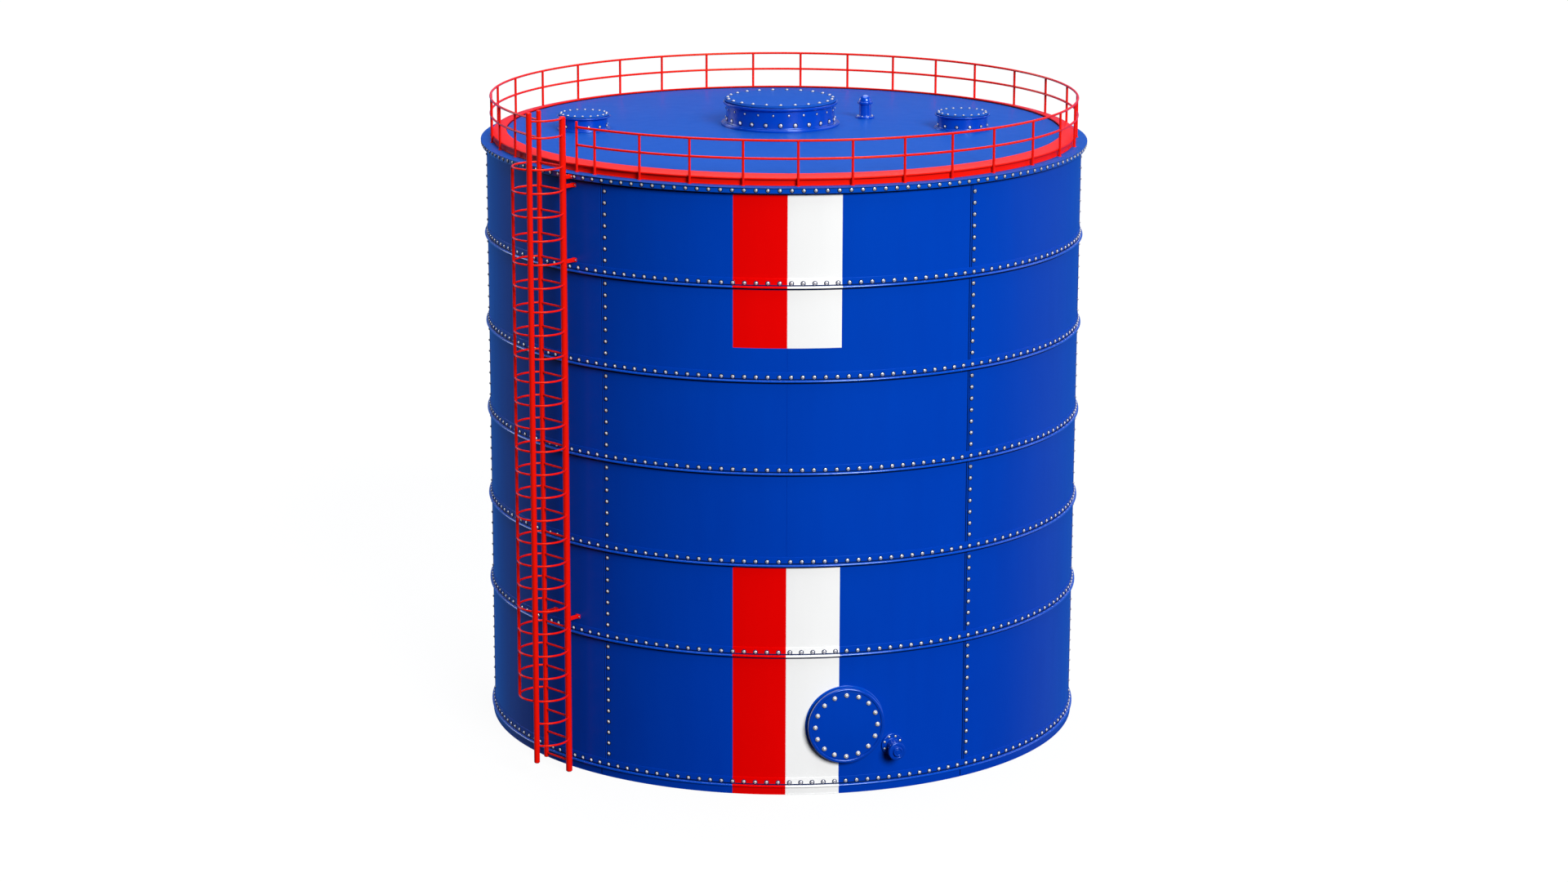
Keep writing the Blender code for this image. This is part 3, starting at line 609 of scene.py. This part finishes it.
def zinc_plate():
    """Make bright zinc: a metal whose spangles vary its tone and its roughness."""
    material = bpy.data.materials.new("zinc_plate")
    place = start(material, "ShaderNodeTexCoord", "Object")
    spangle = place.node("ShaderNodeTexVoronoi", {}, {"Vector": place, "Scale": 220.0}, 1)
    tone = spangle.node("ShaderNodeSeparateColor", {}, {0: spangle})
    return finish(material, place, tone.mix(ZINC_DARK, ZINC_LIGHT), tone * 0.12 + 0.26, WHITE,
                  sheen=0.6, metal=0.55, peel=0.0001)


def seal_shadow_rubber():
    """Make the near-black rubber of the sealing discs, dark also as painted shadow round each bolt."""
    material = bpy.data.materials.new("seal_shadow_rubber")
    place = start(material, "ShaderNodeTexCoord", "Object")
    speck = place.node("ShaderNodeTexNoise", {}, {"Vector": place, "Scale": 120.0})
    return finish(material, place, speck.mix(SEAL_SHADOW_DARK, SEAL_SHADOW_LIGHT), speck * 0.2 + 0.5,
                  BLUE_TINT)


zinc = zinc_plate()
rubber = seal_shadow_rubber()


def add_bolts(name, places, frames, size=1.0):
    """Make bolts at places: a piece of zinc heads and washers, and one of sealing discs whose
    near-black is also painted shadow round each bolt.
    """
    metal = joined([stub(*WASHER, size), stub(*HEAD, size)])
    add_piece(f"{name}_bolts", copies(metal, places, frames), zinc, "zinc_bolts")
    discs = copies(stub(*SEAL_SHADOW_DISC, size), places, frames)
    # The sealing discs, near-black as painted shadow round each bolt
    add_piece(f"{name}_seal_shadows", discs, rubber, "zinc_bolts")


sheet_angles = np.diff(np.append(SEAMS, SEAMS[0] + 360.0))
sheet_bolts = np.round(sheet_angles / BOLT_PITCH).astype(int)
seam_degrees = SEAMS + BOLT_OFFSET / METRES_A_DEGREE
row_degrees = np.concatenate([first + angle * np.arange(count) / count for first, angle, count
                              in zip(seam_degrees, sheet_angles, sheet_bolts)])
row_heights = []
for node in angle_nodes:
    row_heights.append(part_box(node)[0].z + ROW_RISE)
    add_bolts(node, *on_wall(row_degrees, SHELL_RADIUS + LEG, row_heights[-1]))
row_heights.append(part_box("top_angle")[0].z + ROW_IN_TOP_ANGLE)
add_bolts("top_angle", *on_wall(row_degrees, outer, row_heights[-1]), size=0.95)
lapped = seam_degrees[1:]
for number, (low_row, high_row) in enumerate(zip(row_heights, row_heights[1:]), 1):
    count = LOWEST_SEAM_BOLTS if number == 1 else SEAM_BOLTS
    heights = np.linspace(low_row, high_row, count + 2)[1:-1]
    add_bolts(f"seam_{number}", *on_wall(lapped[:, None], SHELL_RADIUS, heights[None, :]))

# Kerb. A pressed steel section in red enamel on the roof's edge: a wide top that falls
# outwards, a bright nose, and a set-back web with a small foot.
KERB_PLATE = 0.022
KERB_FALL = 0.034
KERB_WEB = 0.008
KERB_SET_BACK = 0.030
KERB_FOOT = 0.014
KERB_INNER = 3.985
SCARLET_DARK = (0.680, 0.004, 0.001, 1.0)
SCARLET_LIGHT = (0.800, 0.008, 0.003, 1.0)
SCARLET_TINT = (1.0, 0.30, 0.12, 1.0)

scarlet = enamel("scarlet", SCARLET_DARK, SCARLET_LIGHT, SCARLET_TINT, rough=0.30, sheen=0.45)
kerb_red = enamel("kerb_red", SCARLET_DARK, SCARLET_LIGHT, SCARLET_TINT, rough=0.40,
                  sheen=0.12)
low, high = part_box("roof_kerb")
nose = high.x
web = nose - KERB_SET_BACK
back = web - KERB_WEB
slope = KERB_FALL / (nose - KERB_INNER)
under = high.z - KERB_FALL - KERB_PLATE
outline = rounded([(back, low.z), (web + KERB_FOOT, low.z), (web + KERB_FOOT, low.z + 0.008),
                   (web, low.z + 0.010), (web, under + slope * KERB_SET_BACK), (nose, under),
                   (nose, under + KERB_PLATE), (KERB_INNER, high.z),
                   (KERB_INNER, high.z - KERB_PLATE), (back, under + slope * (nose - back))],
                  (0, 0.002, 0.002, 0.003, 0.006, 0.006, 0.009, 0.008, 0.005, 0.004))
add_piece("kerb", turned(outline, ring_degrees()), kerb_red, "red_paint", "roof_kerb")

# Handrail. Round steel tubes in red enamel, in bent sections: posts bolted down on the
# roof's edge just outside the kerb, a top rail and a middle rail welded between them.
RAIL_RADIUS = 4.206
RAIL_TUBE = 0.0165
POST_TUBE = 0.0175
TOP_RAIL = 9.1115
MID_RAIL = 8.8675
# The post beside the ladder's opening stands higher than the rail
OPENING_POST = -41.9
OPENING_POST_TOP = 9.190
# Name, azimuth of the first post, angle of one bay and number of bays
SECTIONS = (
    ("front_left", -37.4, 10.0, 4),
    ("front_right", 2.6, 10.0, 4),
    ("right_front", 42.6, 11.75, 4),
    ("right_back", 89.6, 11.75, 4),
    ("back_right", 136.6, 10.0, 4),
    ("back_left", 176.6, 10.0, 4),
    ("left_back", 216.6, 11.25, 4),
    ("left_front", 261.6, 9.0, 5),
)
POST_FOOT = (6, ((0.030, 0.000), (0.030, 0.006), (0.024, 0.008)))


def tube(path, radius, across, sides=12, dome=0.3):
    """Carry a circle along a path: point + r (cos a across + sin a across x along).

    The circle shrinks to nothing at both ends over a share of its radius, which closes
    the tube with a flat end and a small round edge.
    """
    path = np.asarray(path, float)
    along = np.gradient(path, axis=0)
    along /= np.linalg.norm(along, axis=1, keepdims=True)
    across = np.broadcast_to(across, path.shape)
    ease = dome * radius
    first = path[0] + along[0] * np.array([0.0, 0.0, ease])[:, None]
    last = path[-1] - along[-1] * np.array([ease, 0.0, 0.0])[:, None]
    rows = np.concatenate([first, path[1:-1], last])
    radii = np.concatenate([[0.0, radius - ease, radius], np.full(len(path) - 2, radius),
                            [radius, radius - ease, 0.0]])[:, None, None]
    pick = np.concatenate([[0, 0, 0], np.arange(1, len(path) - 1), [-1, -1, -1]])
    side = across[pick][:, None]
    other = np.cross(across[pick], along[pick])[:, None]
    turn = (2.0 * math.pi * np.arange(sides) / sides)[None, :, None]
    points = rows[:, None] + radii * (np.cos(turn) * side + np.sin(turn) * other)
    return points, grid_faces(len(rows), sides, close_columns=True)


def straight(first, last, radius, sides=12):
    """Return a straight tube between two points."""
    ends = np.array([first, last], float)
    along = ends[1] - ends[0]
    across = np.cross(along, (0.0, 0.0, 1.0) if abs(along[2]) < 0.5 * np.linalg.norm(along)
                      else (1.0, 0.0, 0.0))
    return tube(np.linspace(*ends, 3), radius, across / np.linalg.norm(across), sides)


def arc(radius, degrees, height):
    """Return points at azimuths on a level circle round the tank's axis."""
    angle = np.radians(degrees)
    return np.stack((radius * np.sin(angle), -radius * np.cos(angle),
                     np.full_like(angle, height)), -1)


def handrail(azimuths, first, last):
    """Return a section: an upright tube on a round foot at each azimuth, and two rails."""
    bend = np.linspace(first, last, 2 + int(abs(last - first)))
    rails = [tube(arc(RAIL_RADIUS, bend, height), RAIL_TUBE, (0.0, 0.0, 1.0))
             for height in (TOP_RAIL, MID_RAIL)]
    places = arc(RAIL_RADIUS, np.array(azimuths), ROOF_EDGE)
    tops = [OPENING_POST_TOP if azimuth == OPENING_POST else TOP_RAIL for azimuth in azimuths]
    posts = [straight(foot, (foot[0], foot[1], top), POST_TUBE)
             for foot, top in zip(places, tops)]
    feet = copies(stub(*POST_FOOT), places, np.tile(np.eye(3), (len(places), 1, 1)))
    return joined([*rails, *posts, feet])


for number, (name, first, bay, bays) in enumerate(SECTIONS):
    azimuths = [first + bay * step for step in range(bays + (name == "left_front"))]
    begins = OPENING_POST if number == 0 else first
    if number == 0:
        azimuths.insert(0, OPENING_POST)
    add_piece(f"rail_{name}", handrail(azimuths, begins, first + bay * bays), scarlet,
              "red_paint", f"handrail_{name}")

# Ladder and cage. Steel tubes in red enamel: two stiles with round rungs, and hoops bent
# round the climber between them, carried by a stout front bar and a thin side bar.
LADDER_AZIMUTH = -44.9
STILE_DISTANCE = 4.480
HALF_WIDTH = 0.240
CAGE_RADIUS = 0.340
RIGHT_STILE = 0.045
RIGHT_STILE_TOP = 9.287
LEFT_STILE = 0.034
LEFT_STILE_FOOT = 0.100
FRONT_BAR = 0.040
SIDE_BAR = 0.022
SIDE_BAR_TOP = 8.610
SIDE_BAR_END = 0.020
RUNG = 0.015
HOOP = 0.0145
RUNG_PITCH = 0.325
FIRST_RUNG = 0.160
RUNGS = 27
FIRST_HOOP = 3
UPPER_ARCS = (9.040, 9.270)
FRONT_ANGLE = 30.0
SIDE_ANGLE = -45.0

outward = arc(1.0, np.array([LADDER_AZIMUTH]), 0.0)[0]
aside = arc(1.0, np.array([LADDER_AZIMUTH + 90.0]), 0.0)[0]
cage_middle = outward * (math.sqrt(STILE_DISTANCE ** 2 - HALF_WIDTH ** 2)
                         + math.sqrt(CAGE_RADIUS ** 2 - HALF_WIDTH ** 2))
stile_angle = 180.0 - math.degrees(math.asin(HALF_WIDTH / CAGE_RADIUS))


def cage_points(degrees, height):
    """Return points of the cage's circle: middle + R (cos a outward + sin a aside)."""
    angle = np.radians(np.atleast_1d(degrees))[:, None]
    circle = cage_middle + CAGE_RADIUS * (np.cos(angle) * outward + np.sin(angle) * aside)
    return circle + np.array((0.0, 0.0, height))


def upright(degrees, low, high, radius):
    """Return an upright bar of the ladder at an angle of the cage's circle."""
    foot = cage_points(degrees, 0.0)[0]
    return straight(foot + (0.0, 0.0, low), foot + (0.0, 0.0, high), radius, 20)


ladder_low, ladder_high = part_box("ladder")
right_foot = cage_points(stile_angle, 0.0)[0]
left_foot = cage_points(-stile_angle, 0.0)[0]
rungs = [straight(left_foot + (0.0, 0.0, FIRST_RUNG + RUNG_PITCH * step),
                  right_foot + (0.0, 0.0, FIRST_RUNG + RUNG_PITCH * step), RUNG)
         for step in range(RUNGS)]
stiles = [upright(stile_angle, ladder_low.z, RIGHT_STILE_TOP, RIGHT_STILE),
          upright(-stile_angle, LEFT_STILE_FOOT, ladder_high.z, LEFT_STILE)]
add_piece("ladder_frame", joined([*stiles, *rungs]), scarlet, "red_paint", "ladder")

cage_low, cage_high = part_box("ladder_cage")
side_foot = FIRST_RUNG + RUNG_PITCH * FIRST_HOOP - SIDE_BAR_END
bars = [upright(FRONT_ANGLE, cage_low.z, cage_high.z, FRONT_BAR),
        upright(SIDE_ANGLE, side_foot, SIDE_BAR_TOP, SIDE_BAR)]
hoops = [tube(cage_points(np.linspace(-stile_angle if step >= FIRST_HOOP else FRONT_ANGLE,
                                      stile_angle, 40), FIRST_RUNG + RUNG_PITCH * step),
              HOOP, (0.0, 0.0, 1.0)) for step in range(1, RUNGS)]
hoops += [tube(cage_points(np.linspace(FRONT_ANGLE, stile_angle, 20), height), HOOP,
               (0.0, 0.0, 1.0)) for height in UPPER_ARCS]
add_piece("cage", joined([*bars, *hoops]), scarlet, "red_paint", "ladder_cage")

# Ladder brackets. Short steel arms in red enamel that hold both stiles off the shell, each
# welded to a foot plate with two bolts.
# Node, height, radius of the wall behind it, whether it is on the right, and its stile's radius
BRACKETS = (
    ("ladder_bracket_left_1", 2.230, SHELL_RADIUS, -1.0, LEFT_STILE),
    ("ladder_bracket_right_1", 2.230, SHELL_RADIUS, 1.0, RIGHT_STILE),
    ("ladder_bracket_right_2", 7.295, SHELL_RADIUS, 1.0, RIGHT_STILE),
    ("ladder_bracket_right_3", 8.330, SHELL_RADIUS, 1.0, RIGHT_STILE),
    ("ladder_bracket_right_4", 8.4555, outer, 1.0, RIGHT_STILE),
)
FOOT_PLATE = (0.043, 0.030, 0.012)
ARM = (0.015, 0.028)
FOOT_BOLTS = 0.030
WELD = 0.004


def plate(half_width, half_height, low, high, edge=0.002, power=0.35):
    """Return a plate with round corners: (w |cos a|^p, h |sin a|^p) with the signs of the
    cosine and the sine, from one level to another, closed at the middle of both faces."""
    angle = 2.0 * math.pi * np.arange(28) / 28
    x = half_width * np.sign(np.cos(angle)) * np.abs(np.cos(angle)) ** power
    y = half_height * np.sign(np.sin(angle)) * np.abs(np.sin(angle)) ** power
    share = np.array([0.0, 1.0 - edge / half_height, 1.0, 1.0, 1.0 - edge / half_height, 0.0])
    level = np.array([low, low, low + edge, high - edge, high, high])
    points = np.stack(np.broadcast_arrays(share[:, None] * x, share[:, None] * y,
                                          level[:, None]), -1)
    return points, grid_faces(6, len(angle), close_columns=True)


for node, height, wall, side, stile in BRACKETS:
    azimuth = LADDER_AZIMUTH + side * math.degrees(math.asin(HALF_WIDTH / STILE_DISTANCE))
    arm = plate(*ARM, FOOT_PLATE[2] / 2.0, STILE_DISTANCE - stile + WELD - wall)
    shape = joined([plate(FOOT_PLATE[0], FOOT_PLATE[1], TOUCH, FOOT_PLATE[2]), arm])
    add_piece(f"{node}_arm", copies(shape, *on_wall(azimuth, wall, height)), scarlet,
              "red_paint", node)
    beside = azimuth + np.array([-FOOT_BOLTS, FOOT_BOLTS]) / METRES_A_DEGREE
    add_bolts(node, *on_wall(beside, wall + FOOT_PLATE[2], height), size=0.45)

# Roof hatches. A steel neck with a welded foot ring and a flange, closed by a flat bolted
# cover; the big one in the middle is for ventilation and the small ones are manholes.
# Node stem, radius of the neck and of the foot, and for each ring of bolts, on the cover,
# round the foot and under the flange, their number and the azimuth of the first
HATCHES = (
    ("centre_hatch", 0.781, 0.850, (23, 0.6), (23, 0.4), (22, 9.0)),
    ("left_hatch", 0.339, 0.378, (18, 0.0), (12, 15.0), None),
    ("right_hatch", 0.362, 0.406, (18, 0.0), (12, 15.0), None),
)
FLANGE_STEP = 0.020
FOOT_SHARE = 0.6
FOOT_SLOPE = 0.020
STEP_IN = 0.016
GASKET = 0.007


def hatch_outlines(cover, neck, foot, base, seam, top, foot_top):
    """Return the outlines of a hatch's neck and cover, with rounded rings and a gasket's gap."""
    flange = top - seam
    lip = cover + FLANGE_STEP
    body = rounded([(0.0, base), (foot, base), (foot, foot_top - 0.014),
                    (foot - STEP_IN, foot_top - 0.010), (foot - STEP_IN, foot_top),
                    (neck, foot_top), (neck, seam - flange), (lip - STEP_IN, seam - flange),
                    (lip, seam - 0.7 * flange), (lip, seam - TOUCH), (0.0, seam - TOUCH)],
                   (0, 0.004, 0.006, 0.003, 0.005, 0.012, 0.006, 0.003, 0.006, 0.006, 0))
    lid = rounded([(0.0, seam), (cover - STEP_IN, seam), (cover - STEP_IN, seam + GASKET),
                   (cover, seam + GASKET), (cover, seam + 0.65 * flange),
                   (cover - STEP_IN, seam + 0.70 * flange), (cover - STEP_IN, top), (0.0, top)],
                  (0, 0.001, 0.001, 0.003, 0.006, 0.003, 0.006, 0))
    return body, lid


def flat_on(degrees, radius, centre, height):
    """Return places on a level circle round a centre, and frames whose Z points up."""
    places = arc(radius, degrees, height) + np.array((*centre, 0.0))
    return places, np.tile(np.eye(3), (len(places), 1, 1))


def ring_of(bolts):
    """Return the azimuths of a number of bolts all round, from that of the first."""
    return bolts[1] + 360.0 / bolts[0] * np.arange(bolts[0])


hatch_blue = enamel("hatch_blue", BLUE_DARK, BLUE_LIGHT, BLUE_TINT, rough=0.28, sheen=0.6,
                    coat=0.8)
for stem, neck, foot, on_cover, on_foot, on_neck in HATCHES:
    cover_low, cover_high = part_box(f"{stem}_cover")
    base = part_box(f"{stem}_neck")[0].z
    centre = ((cover_low.x + cover_high.x) / 2.0, (cover_low.y + cover_high.y) / 2.0)
    cover = (cover_high.x - cover_low.x) / 2.0
    size = 1.2 if on_neck else 0.9
    foot_top = base + FOOT_SHARE * (cover_high.z - cover_low.z) + FOOT_SLOPE
    body, lid = hatch_outlines(cover, neck, foot, base, cover_low.z, cover_high.z, foot_top)
    degrees = np.arange(0.0, 360.0, 3.0)
    add_piece(f"{stem}_body", turned(body, degrees, 0.0, centre), hatch_blue, "blue_paint",
              f"{stem}_neck")
    add_piece(f"{stem}_lid", turned(lid, degrees, 0.0, centre), roof_blue, "blue_paint",
              f"{stem}_cover")
    add_bolts(f"{stem}_cover", *flat_on(ring_of(on_cover), cover - 0.041 * size, centre,
                                        cover_high.z), size=0.85 * size)
    places, frames = on_wall(ring_of(on_foot), neck, foot_top + 0.040 * size)
    add_bolts(f"{stem}_foot", places + np.array((*centre, 0.0)), frames, size=0.9 * size)
    if on_neck:
        places, frames = on_wall(ring_of(on_neck), neck, cover_low.z - 0.105)
        add_bolts(f"{stem}_neck", places + np.array((*centre, 0.0)), frames, size=0.6)

# Roof vent. A short steel pipe welded to a bolted flange, with a pressed dome for a cap.
VENT_PIPE = 0.086
VENT_BOLTS = (8, 22.5)
VENT_RIM = 0.035
DOME_SHARE = 0.86

vent_low, vent_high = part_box("vent_pipe")
cap_low, cap_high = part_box("vent_cap")
vent_centre = ((vent_low.x + vent_high.x) / 2.0, (vent_low.y + vent_high.y) / 2.0)
foot = (vent_high.x - vent_low.x) / 2.0
rim = (cap_high.x - cap_low.x) / 2.0
flange_top = vent_low.z + VENT_RIM
outline = rounded([(0.0, vent_low.z), (foot, vent_low.z), (foot, flange_top),
                   (VENT_PIPE, flange_top), (VENT_PIPE, vent_high.z), (0.0, vent_high.z)],
                  (0, 0.004, 0.010, 0.010, 0.002, 0))
round_steps = np.arange(0.0, 360.0, 7.5)
add_piece("vent_stem", turned(outline, round_steps, 0.0, vent_centre), hatch_blue, "blue_paint",
          "vent_pipe")
rise = np.radians(np.linspace(0.0, 90.0, 13))
dome_foot = cap_low.z + VENT_RIM
dome = np.stack((rim * DOME_SHARE * np.cos(rise),
                 dome_foot + (cap_high.z - dome_foot) * np.sin(rise)), -1)
skirt = rounded([(0.0, cap_low.z), (rim, cap_low.z), (rim, dome_foot),
                 (rim * DOME_SHARE, dome_foot)], (0, 0.004, 0.008, 0))
add_piece("vent_dome", turned(np.concatenate([skirt, dome]), round_steps, 0.0, vent_centre),
          hatch_blue, "blue_paint", "vent_cap")
add_bolts("vent", *flat_on(ring_of(VENT_BOLTS), foot - 0.024, vent_centre, flange_top),
          size=0.5)

# Shell manhole. A round neck through the shell on a welded pad, with a flange whose raised
# rim holds a flat cover, and sixteen stout studs with washers and hexagon nuts.
MANHOLE_AZIMUTH = 11.8
MANHOLE_HEIGHT = 0.990
MANHOLE_NECK = 0.440
MANHOLE_RIM = 0.538
MANHOLE_COVER = 0.490
MANHOLE_PAD = 0.558
MANHOLE_FACE = 0.085
# How deep a neck reaches through the shell, and how far the cover's seat lies below the face
THROUGH_SHELL = 0.030
SEAT_DEPTH = 0.025
MANHOLE_BOLTS = 16
MANHOLE_BOLT_CIRCLE = 0.439
PAD_PLATE = 0.010
# Sides and (radius, rise) points of a stud's washer, nut and end, and of the near-black seal below,
# which also stands in as painted shadow round the stud
STUD_PARTS = ((14, ((0.032, 0.001), (0.032, 0.005), (0.029, 0.006))),
              (6, ((0.027, 0.005), (0.027, 0.017), (0.023, 0.020))),
              (12, ((0.0125, 0.019), (0.0125, 0.025), (0.0085, 0.027))))
STUD_SEAL_SHADOW = (14, ((0.037, 0.000), (0.037, 0.001), (0.034, 0.002)))


def facing(points, azimuth, height):
    """Turn points so that their Z points straight out of the shell at an azimuth."""
    angle = math.radians(azimuth)
    along = np.array((math.cos(angle), math.sin(angle), 0.0))
    outward = np.array((math.sin(angle), -math.cos(angle), 0.0))
    upward = np.array((0.0, 0.0, 1.0))
    return points @ np.stack((along, upward, outward)) + upward * height


def facing_shape(outline, azimuth, height, steps=72):
    """Turn an outline of (radius, distance from the tank's axis) round a level axis."""
    points, faces = turned(np.asarray(outline), np.arange(0.0, 360.0, 360.0 / steps))
    return facing(points, azimuth, height), faces


def pad_shape():
    """Return a ring that lies on the round shell: (p, q) = rho (cos a, sin a) is wrapped so
    that p runs along the wall, at asin(p / radius), and q runs up it."""
    reach = np.array([MANHOLE_NECK, MANHOLE_NECK, MANHOLE_PAD - 0.004, MANHOLE_PAD, MANHOLE_PAD])
    rise = np.array([0.0, PAD_PLATE, PAD_PLATE, PAD_PLATE - 0.004, 0.0]) + SHELL_RADIUS + TOUCH
    angle = 2.0 * math.pi * np.arange(96) / 96
    across = reach[:, None] * np.cos(angle)
    azimuth = np.arcsin(across / rise[:, None]) + math.radians(MANHOLE_AZIMUTH)
    radius = np.broadcast_to(rise[:, None], across.shape)
    points = np.stack((radius * np.sin(azimuth), -radius * np.cos(azimuth),
                       MANHOLE_HEIGHT + reach[:, None] * np.sin(angle)), -1)
    return points, grid_faces(5, 96, True, True)


def around(circle, count, azimuth, height, distance, phase=0.0):
    """Return places and frames of studs on a circle that faces out at an azimuth."""
    angle = 2.0 * math.pi * (np.arange(count) + phase) / count
    local = np.stack((circle * np.cos(angle), circle * np.sin(angle),
                      np.full(count, distance)), -1)
    frames = facing(np.eye(3), azimuth, 0.0)
    return facing(local, azimuth, height), np.tile(frames, (count, 1, 1))


# The pad takes the lighter blue of the painted highlight
add_piece("manhole_ring_pad", pad_shape(), highlight_blue, "blue_paint", "manhole_pad")
face = SHELL_RADIUS + MANHOLE_FACE
seat = face - SEAT_DEPTH
outline = rounded([(MANHOLE_NECK - 0.012, SHELL_RADIUS - THROUGH_SHELL),
                   (MANHOLE_NECK, SHELL_RADIUS - THROUGH_SHELL), (MANHOLE_NECK, seat - 0.022),
                   (MANHOLE_RIM - 0.010, seat - 0.022), (MANHOLE_RIM, seat - 0.012),
                   (MANHOLE_RIM, face + 0.002), (MANHOLE_RIM - 0.012, face + 0.012),
                   (MANHOLE_COVER + 0.008, face + 0.012), (MANHOLE_COVER + TOUCH, face + 0.002),
                   (MANHOLE_COVER + TOUCH, seat), (MANHOLE_NECK - 0.012, seat)],
                  (0, 0, 0.006, 0.004, 0.005, 0.006, 0.006, 0.006, 0.004, 0, 0))
add_piece("manhole_flange", facing_shape(outline, MANHOLE_AZIMUTH, MANHOLE_HEIGHT), hatch_blue,
          "blue_paint", "manhole_neck")
outline = rounded([(0.0, seat + TOUCH), (MANHOLE_COVER, seat + TOUCH), (MANHOLE_COVER, face),
                   (0.0, face)], (0, 0, 0.006, 0))
add_piece("manhole_lid", facing_shape(outline, MANHOLE_AZIMUTH, MANHOLE_HEIGHT), sheet_blue,
          "blue_paint", "manhole_cover")
places, frames = around(MANHOLE_BOLT_CIRCLE, MANHOLE_BOLTS, MANHOLE_AZIMUTH, MANHOLE_HEIGHT, face)
add_piece("manhole_studs", copies(joined([stub(*part) for part in STUD_PARTS]), places, frames),
          zinc, "zinc_bolts")
# The studs' near-black seals, also painted shadow round each stud
add_piece("manhole_seal_shadows", copies(stub(*STUD_SEAL_SHADOW), places, frames), rubber, "zinc_bolts")

# Drain nozzle. A short steel pipe with a bolted foot flange, which drops a little towards
# its blind end, a stepped disc with rings turned in its face.
NOZZLE_AZIMUTH = 20.9
NOZZLE_HEIGHT = 0.642
NOZZLE_DROP = 0.045
NOZZLE_PIPE = 0.083
NOZZLE_FOOT = 0.156
NOZZLE_CAP = 0.124
NOZZLE_LENGTH = 0.245
NOZZLE_BLIND = 0.055
NOZZLE_BOLTS = 8
NOZZLE_BOLT_CIRCLE = 0.124
NOZZLE_FLANGE = 0.024

foot = SHELL_RADIUS + 0.0015
end = SHELL_RADIUS + NOZZLE_LENGTH
seat = end - NOZZLE_BLIND
back = seat - 0.022
outline = rounded([(0.0, SHELL_RADIUS - THROUGH_SHELL),
                   (NOZZLE_PIPE, SHELL_RADIUS - THROUGH_SHELL),
                   (NOZZLE_PIPE, foot), (NOZZLE_FOOT, foot), (NOZZLE_FOOT, foot + NOZZLE_FLANGE),
                   (NOZZLE_PIPE, foot + NOZZLE_FLANGE), (NOZZLE_PIPE, back), (NOZZLE_CAP, back),
                   (NOZZLE_CAP, seat), (0.0, seat)],
                  (0, 0, 0, 0.003, 0.008, 0.008, 0.004, 0.006, 0.002, 0))
points, faces = facing_shape(outline, NOZZLE_AZIMUTH, NOZZLE_HEIGHT)
points[outline[:, 1] > back - 0.005, :, 2] -= NOZZLE_DROP
add_piece("nozzle_stem", (points, faces), hatch_blue, "blue_paint", "nozzle_pipe")
outline = rounded([(0.0, seat + TOUCH), (NOZZLE_CAP, seat + TOUCH), (NOZZLE_CAP, seat + 0.024),
                   (0.088, seat + 0.030), (0.086, seat + 0.024), (0.070, seat + 0.024),
                   (0.066, end - 0.006), (0.062, end), (0.046, end), (0.042, end - 0.008),
                   (0.038, end - 0.008), (0.034, end - 0.001), (0.0, end - 0.001)],
                  (0, 0.002, 0.006, 0.004, 0.002, 0.002, 0.002, 0.002, 0.002, 0.001, 0.001,
                   0.002, 0))
add_piece("nozzle_end", facing_shape(outline, NOZZLE_AZIMUTH, NOZZLE_HEIGHT - NOZZLE_DROP),
          hatch_blue, "blue_paint", "nozzle_cap")
places, frames = around(NOZZLE_BOLT_CIRCLE, NOZZLE_BOLTS, NOZZLE_AZIMUTH, NOZZLE_HEIGHT,
                        foot + NOZZLE_FLANGE, phase=0.5)
add_bolts("nozzle", places, frames, size=0.62)

low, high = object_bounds()
